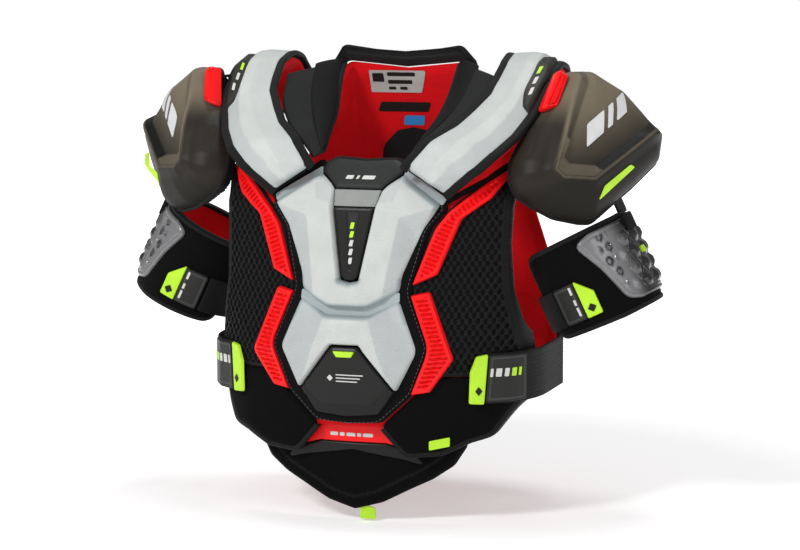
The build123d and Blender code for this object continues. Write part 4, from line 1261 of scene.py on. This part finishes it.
# ---------------------------------------------------------------------------------------------
# The side straps. Wide elastic from the back's edge to a hook-and-loop end on the chest's loop
# panel; a stitched patch and a lime tip finish the free end.
# ---------------------------------------------------------------------------------------------
belly_middle, belly_widest, belly_radius, belly_half = (float(x) for x in chest_sections[2, 1:])
belly_turn = radians(belly_half)
strap_gap, strap_standoff = 0.8, 3.6
strap_tip_x = 116
strap_radius = (belly_widest - belly_radius * sin(belly_turn)) / (1 - sin(belly_turn)) + strap_gap
strap_centre_x = (belly_radius - strap_radius + strap_gap) * sin(belly_turn)
strap_centre_y = belly_middle + belly_radius - (belly_radius - strap_radius + strap_gap) * cos(belly_turn)
tip_reach = strap_tip_x - strap_centre_x
tip_angle = atan2(-sqrt(strap_radius ** 2 - tip_reach ** 2), tip_reach)
seated = [(tip_angle + radians(t), 0.0) for t in (0, 5, 10, 14)]
lifted = [(tip_angle + radians(24), strap_standoff)]
lifted += [(a, strap_standoff) for a in np.linspace(tip_angle + radians(30), 0, 9)]
plan = [(strap_centre_x + (strap_radius + lift) * cos(a), strap_centre_y + (strap_radius + lift) * sin(a))
        for a, lift in seated + lifted]
flank_x = strap_centre_x + strap_radius + strap_standoff
plan += [(flank_x, 25), (flank_x, 50), (150.5, 96)]
plan_line = spaced(plan, 2.0, closed=False)
plan_run = lengths_along(plan_line)
plan_way = np.gradient(plan_line, axis=0)
for _ in range(6):
    plan_way = (np.roll(plan_way, 1, axis=0) + plan_way * 2 + np.roll(plan_way, -1, axis=0)) / 4
plan_way /= np.linalg.norm(plan_way, axis=1)[:, None]
strap_long = float(plan_run[-1])


def band(u, v, rise):
    """Round the flank: u runs along the strap from its tip, v is z."""
    x, y = (np.interp(u, plan_run, plan_line[:, k]) for k in (0, 1))
    way_x, way_y = (np.interp(u, plan_run, plan_way[:, k]) for k in (0, 1))
    return np.stack([x + way_y * rise, y - way_x * rise, v + 0 * u], axis=1)


def band_top(u, v, d):
    weave = 0.25 * np.cos(v * 2 * pi / 4.0) * soft_step(d, 2, 3)
    return dome(d, 1.2, 0.8, 2.4) + weave, 0.3 * (weave > 0)


elastic_start, elastic_low, elastic_wide = 18, -316.6, 49.2
webbing_line = bar_shape(elastic_start, elastic_low, strap_long - elastic_start - 1, elastic_wide)
paired(panel, "side_strap", webbing_line, band, band_top, ELASTIC, "side_strap", ["side_strap"], floor=0.0,
       step=1.8, corner=1, slot="elastic")
tip_line = [(0, -316, 2), (15, -317, 1), (19, -268, 1), (7, -270, 3), (1, -285, 3)]
paired(panel, "side_strap_tip", tip_line, band, domed(1.2, 1.2, 3.2), LIME, "side_strap",
       floor=0.1, step=1.5, corner=2)
patch_line = [(16, -315, 2), (62, -315, 3), (62, -269, 3), (20, -269, 2)]


def thick_patch_top(u, v, d):
    height, tone_and_painted_light = patch_top(u, v, d)
    return height + 0.4, tone_and_painted_light


paired(panel, "side_strap_patch", patch_line, band, thick_patch_top, PATCH, "side_strap",
       floor=2.2, step=1.3, corner=2, rows=(0.6, 1.4, 2.2, 3.2))
for k, (left, wide, colour) in enumerate([(20, 3, PALE), (26, 6, PALE), (35, 4, PALE), (42, 5, LIME),
                                          (50, 3, LIME)]):
    bar = bar_shape(left, -290, wide, 8, 1)
    paired(panel, f"side_strap_mark_{k}", bar, band, flat_at(4.5), colour, "side_strap",
           floor=3.4, step=1, corner=0.4, rows=())
paired(panel, "side_strap_dot", diamond(9, -303.5, 3.6, 4.5), band, flat_at(3.7), BLACK, "side_strap",
       floor=2.6, step=1, corner=0.3, rows=())

# ---------------------------------------------------------------------------------------------
# The belly extension. A flat foam pad faced with loop pile that slides out below the chest; it
# carries a red panel, a glossy edge strip and a lime pull tab.
# ---------------------------------------------------------------------------------------------
low_height = float(chest_sections[0, 0])
extension_depth = 14.3


def extension(u, v, rise):
    """The pad lies behind the chest's face and keeps one section over its height."""
    spot = chest(u, np.full(len(u), low_height), rise - extension_depth)
    spot[:, 2] = v
    return spot


pad_half = [(0, -302), (92, -302, 6), (100, -345, 12), (107, -362, 8), (95, -382, 14), (76, -395, 16),
            (55, -405, 12), (28, -419, 16), (0, -427, 5)]


def pad_top(u, v, d):
    inner = soft_step(d, 13, 16)
    line = 1 - soft_step(np.abs(d - 13), 0.6, 1.8)
    return dome(d, 7, -8, 0) + 0.6 * inner - 1.0 * line, 0.5 * line


pad = panel("extension_pad", both_sides(pad_half), extension, pad_top, VELOUR, -12, 2.4, 4,
            body="belly_extension", slot="loop_pile", nodes=["extension_pad"])
red_line = both_sides([(0, -318), (62, -318), (62, -366), (34, -358.5, 6), (0, -358.5)])
panel("extension_red_panel", red_line, extension, domed(1.2, 1.0, 2.0), RED, 0.3, 2.2, 1,
      body="belly_extension", slot="red_gloss", nodes=["extension_red_panel"])
for k, (left, wide) in enumerate([(-23, 8), (-13, 5), (-6, 9), (5, 4), (11, 10)]):
    bar = bar_shape(left, -353, wide, 3.4)
    panel(f"extension_mark_{k}", bar, extension, flat_at(2.5), PALE, 1.6, 1.5, 0.3, (),
          body="belly_extension")
strip_line = both_sides([(0, -359), (34, -359, 4), (62, -366.5), (72, -380, 3), (50, -374, 10), (0, -366)])
panel("extension_edge_strip", strip_line, extension, domed(2, 1.0, 3.2), BLACK, 0.3, 1.6, 1,
      body="belly_extension", slot="gloss_strip", nodes=["extension_edge_strip"])
pull = [(5.5, -436, 1), (20.5, -436, 1), (20.5, -425, 0), (5.5, -421, 0)]
panel("extension_pull_tab", pull, extension, flat_at(-5.2), LIME, -7.0, 1.6, 1, (0.5,),
      body="belly_extension", slot="lime_trim", nodes=["extension_pull_tab"])

# Rolled binding round the chest panel's outer edge, and piping along the neckline.
edge_half = [(84, -125), (121, -103)] + armhole[1:] + hem + [(34, -342, 6)]
edge_middle = [(*p[:2], 12) for p in edge_half[1:-1]]
chest_edge = rounded([(*edge_half[0][:2], 0)] + edge_middle + [(*edge_half[-1][:2], 0)])
for side, turned in SIDES:
    ribbon(f"chest_binding_{side}", turned(chest_edge), chest, oval(6.0, 9.0, 12), BINDING, -5.0, 1.8,
           body=FRONT, slot="black_trim")
neckline = rounded([(-41, -96, 0), (-39, -89, 6), (-30, -85, 20), (0, -87, 0), (30, -85, 20), (39, -89, 6),
                    (41, -96, 0)])
ribbon("neck_piping", neckline, chest, oval(4.6, 8.0, 12), BINDING, 0.5, 1.5, body=FRONT, slot="black_trim")
contour = [(84, -125), (91, -129), (74, -150), (60, -206), (61, -214), (81, -263), (64, -308), (34, -336),
           (0, -338)]
for side, turned in SIDES:
    seam = rounded([(*contour[0], 0)] + [(*p, 16) for p in contour[1:-1]] + [(*contour[-1], 0)])
    inner = [(x - 3.2, z + 1.0) for x, z in seam]
    stitches(f"contour_stitch_{side}", turned(inner), chest, 3.4, THREAD, 2.6, 1.6, 0.7, body=FRONT)

# ---------------------------------------------------------------------------------------------
# A pale studio sweep with broad soft lights and a camera at chest height.
# ---------------------------------------------------------------------------------------------
STUDIO, tree, shader, place = look("studio_paper", (0.86, 0.86, 0.86), 0.95, shine=0.0)
shader.inputs["Emission Color"].default_value = (1, 1, 1, 1)
away = node(tree, "ShaderNodeTexCoord")
reach = node(tree, "ShaderNodeVectorMath", operation="LENGTH")
fade = node(tree, "ShaderNodeMapRange", **{"From Min": 0.45, "From Max": 1.3, "To Min": 0.30, "To Max": 1.1})
tree.links.new(away.outputs["Object"], reach.inputs[0])
tree.links.new(reach.outputs["Value"], fade.inputs["Value"])
tree.links.new(fade.outputs["Result"], shader.inputs["Emission Strength"])
relief(tree, shader, [(grain(tree, place, 0.4), 0.05)], 0.1)
lowest = frame_size[0][2] - 0.002
bpy.ops.mesh.primitive_plane_add(size=14, location=(0, 0, lowest))
floor = bpy.context.active_object
floor.name = "studio_floor"
floor.data.materials.append(STUDIO)

world = bpy.data.worlds.new("studio")
bpy.context.scene.world = world
world.use_nodes = True
backdrop = world.node_tree.nodes["Background"]
backdrop.inputs["Color"].default_value = (1, 1, 1, 1)
backdrop.inputs["Strength"].default_value = 0.42
white = node(world.node_tree, "ShaderNodeBackground", Color=(1, 1, 1, 1), Strength=1.0)
rays = world.node_tree.nodes.new("ShaderNodeLightPath")
choose = world.node_tree.nodes.new("ShaderNodeMixShader")
world.node_tree.links.new(rays.outputs["Is Camera Ray"], choose.inputs[0])
world.node_tree.links.new(backdrop.outputs[0], choose.inputs[1])
world.node_tree.links.new(white.outputs[0], choose.inputs[2])
world.node_tree.links.new(choose.outputs[0], world.node_tree.nodes["World Output"].inputs["Surface"])


def soft_light(name, place, target, size, power):
    """A square soft box aimed at a point; metres and watts."""
    data = bpy.data.lights.new(name, "AREA")
    data.size = size
    data.energy = power
    lamp = bpy.data.objects.new(name, data)
    bpy.context.scene.collection.objects.link(lamp)
    lamp.location = place
    lamp.rotation_euler = (Vector(target) - Vector(place)).to_track_quat("-Z", "Y").to_euler()
    return lamp


soft_light("key_light", (-0.9, -2.0, 1.5), (0, 0, -0.15), 0.5, 40)
soft_light("fill_light", (1.9, -1.5, 0.7), (0, 0, -0.2), 1.0, 9)
soft_light("top_light", (0.1, 0.3, 1.9), (0, 0, -0.1), 0.9, 16)

camera_data = bpy.data.cameras.new("camera")
camera_data.lens = 108
camera_data.sensor_width = 36
camera = bpy.data.objects.new("camera", camera_data)
bpy.context.scene.collection.objects.link(camera)
camera.location = (0.776, -2.279, 0.0887)
target = Vector((0.0198, -0.0198, -0.2038))
camera.rotation_euler = (target - camera.location).to_track_quat("-Z", "Y").to_euler()
bpy.context.scene.camera = camera
bpy.context.scene.view_settings.view_transform = "Standard"
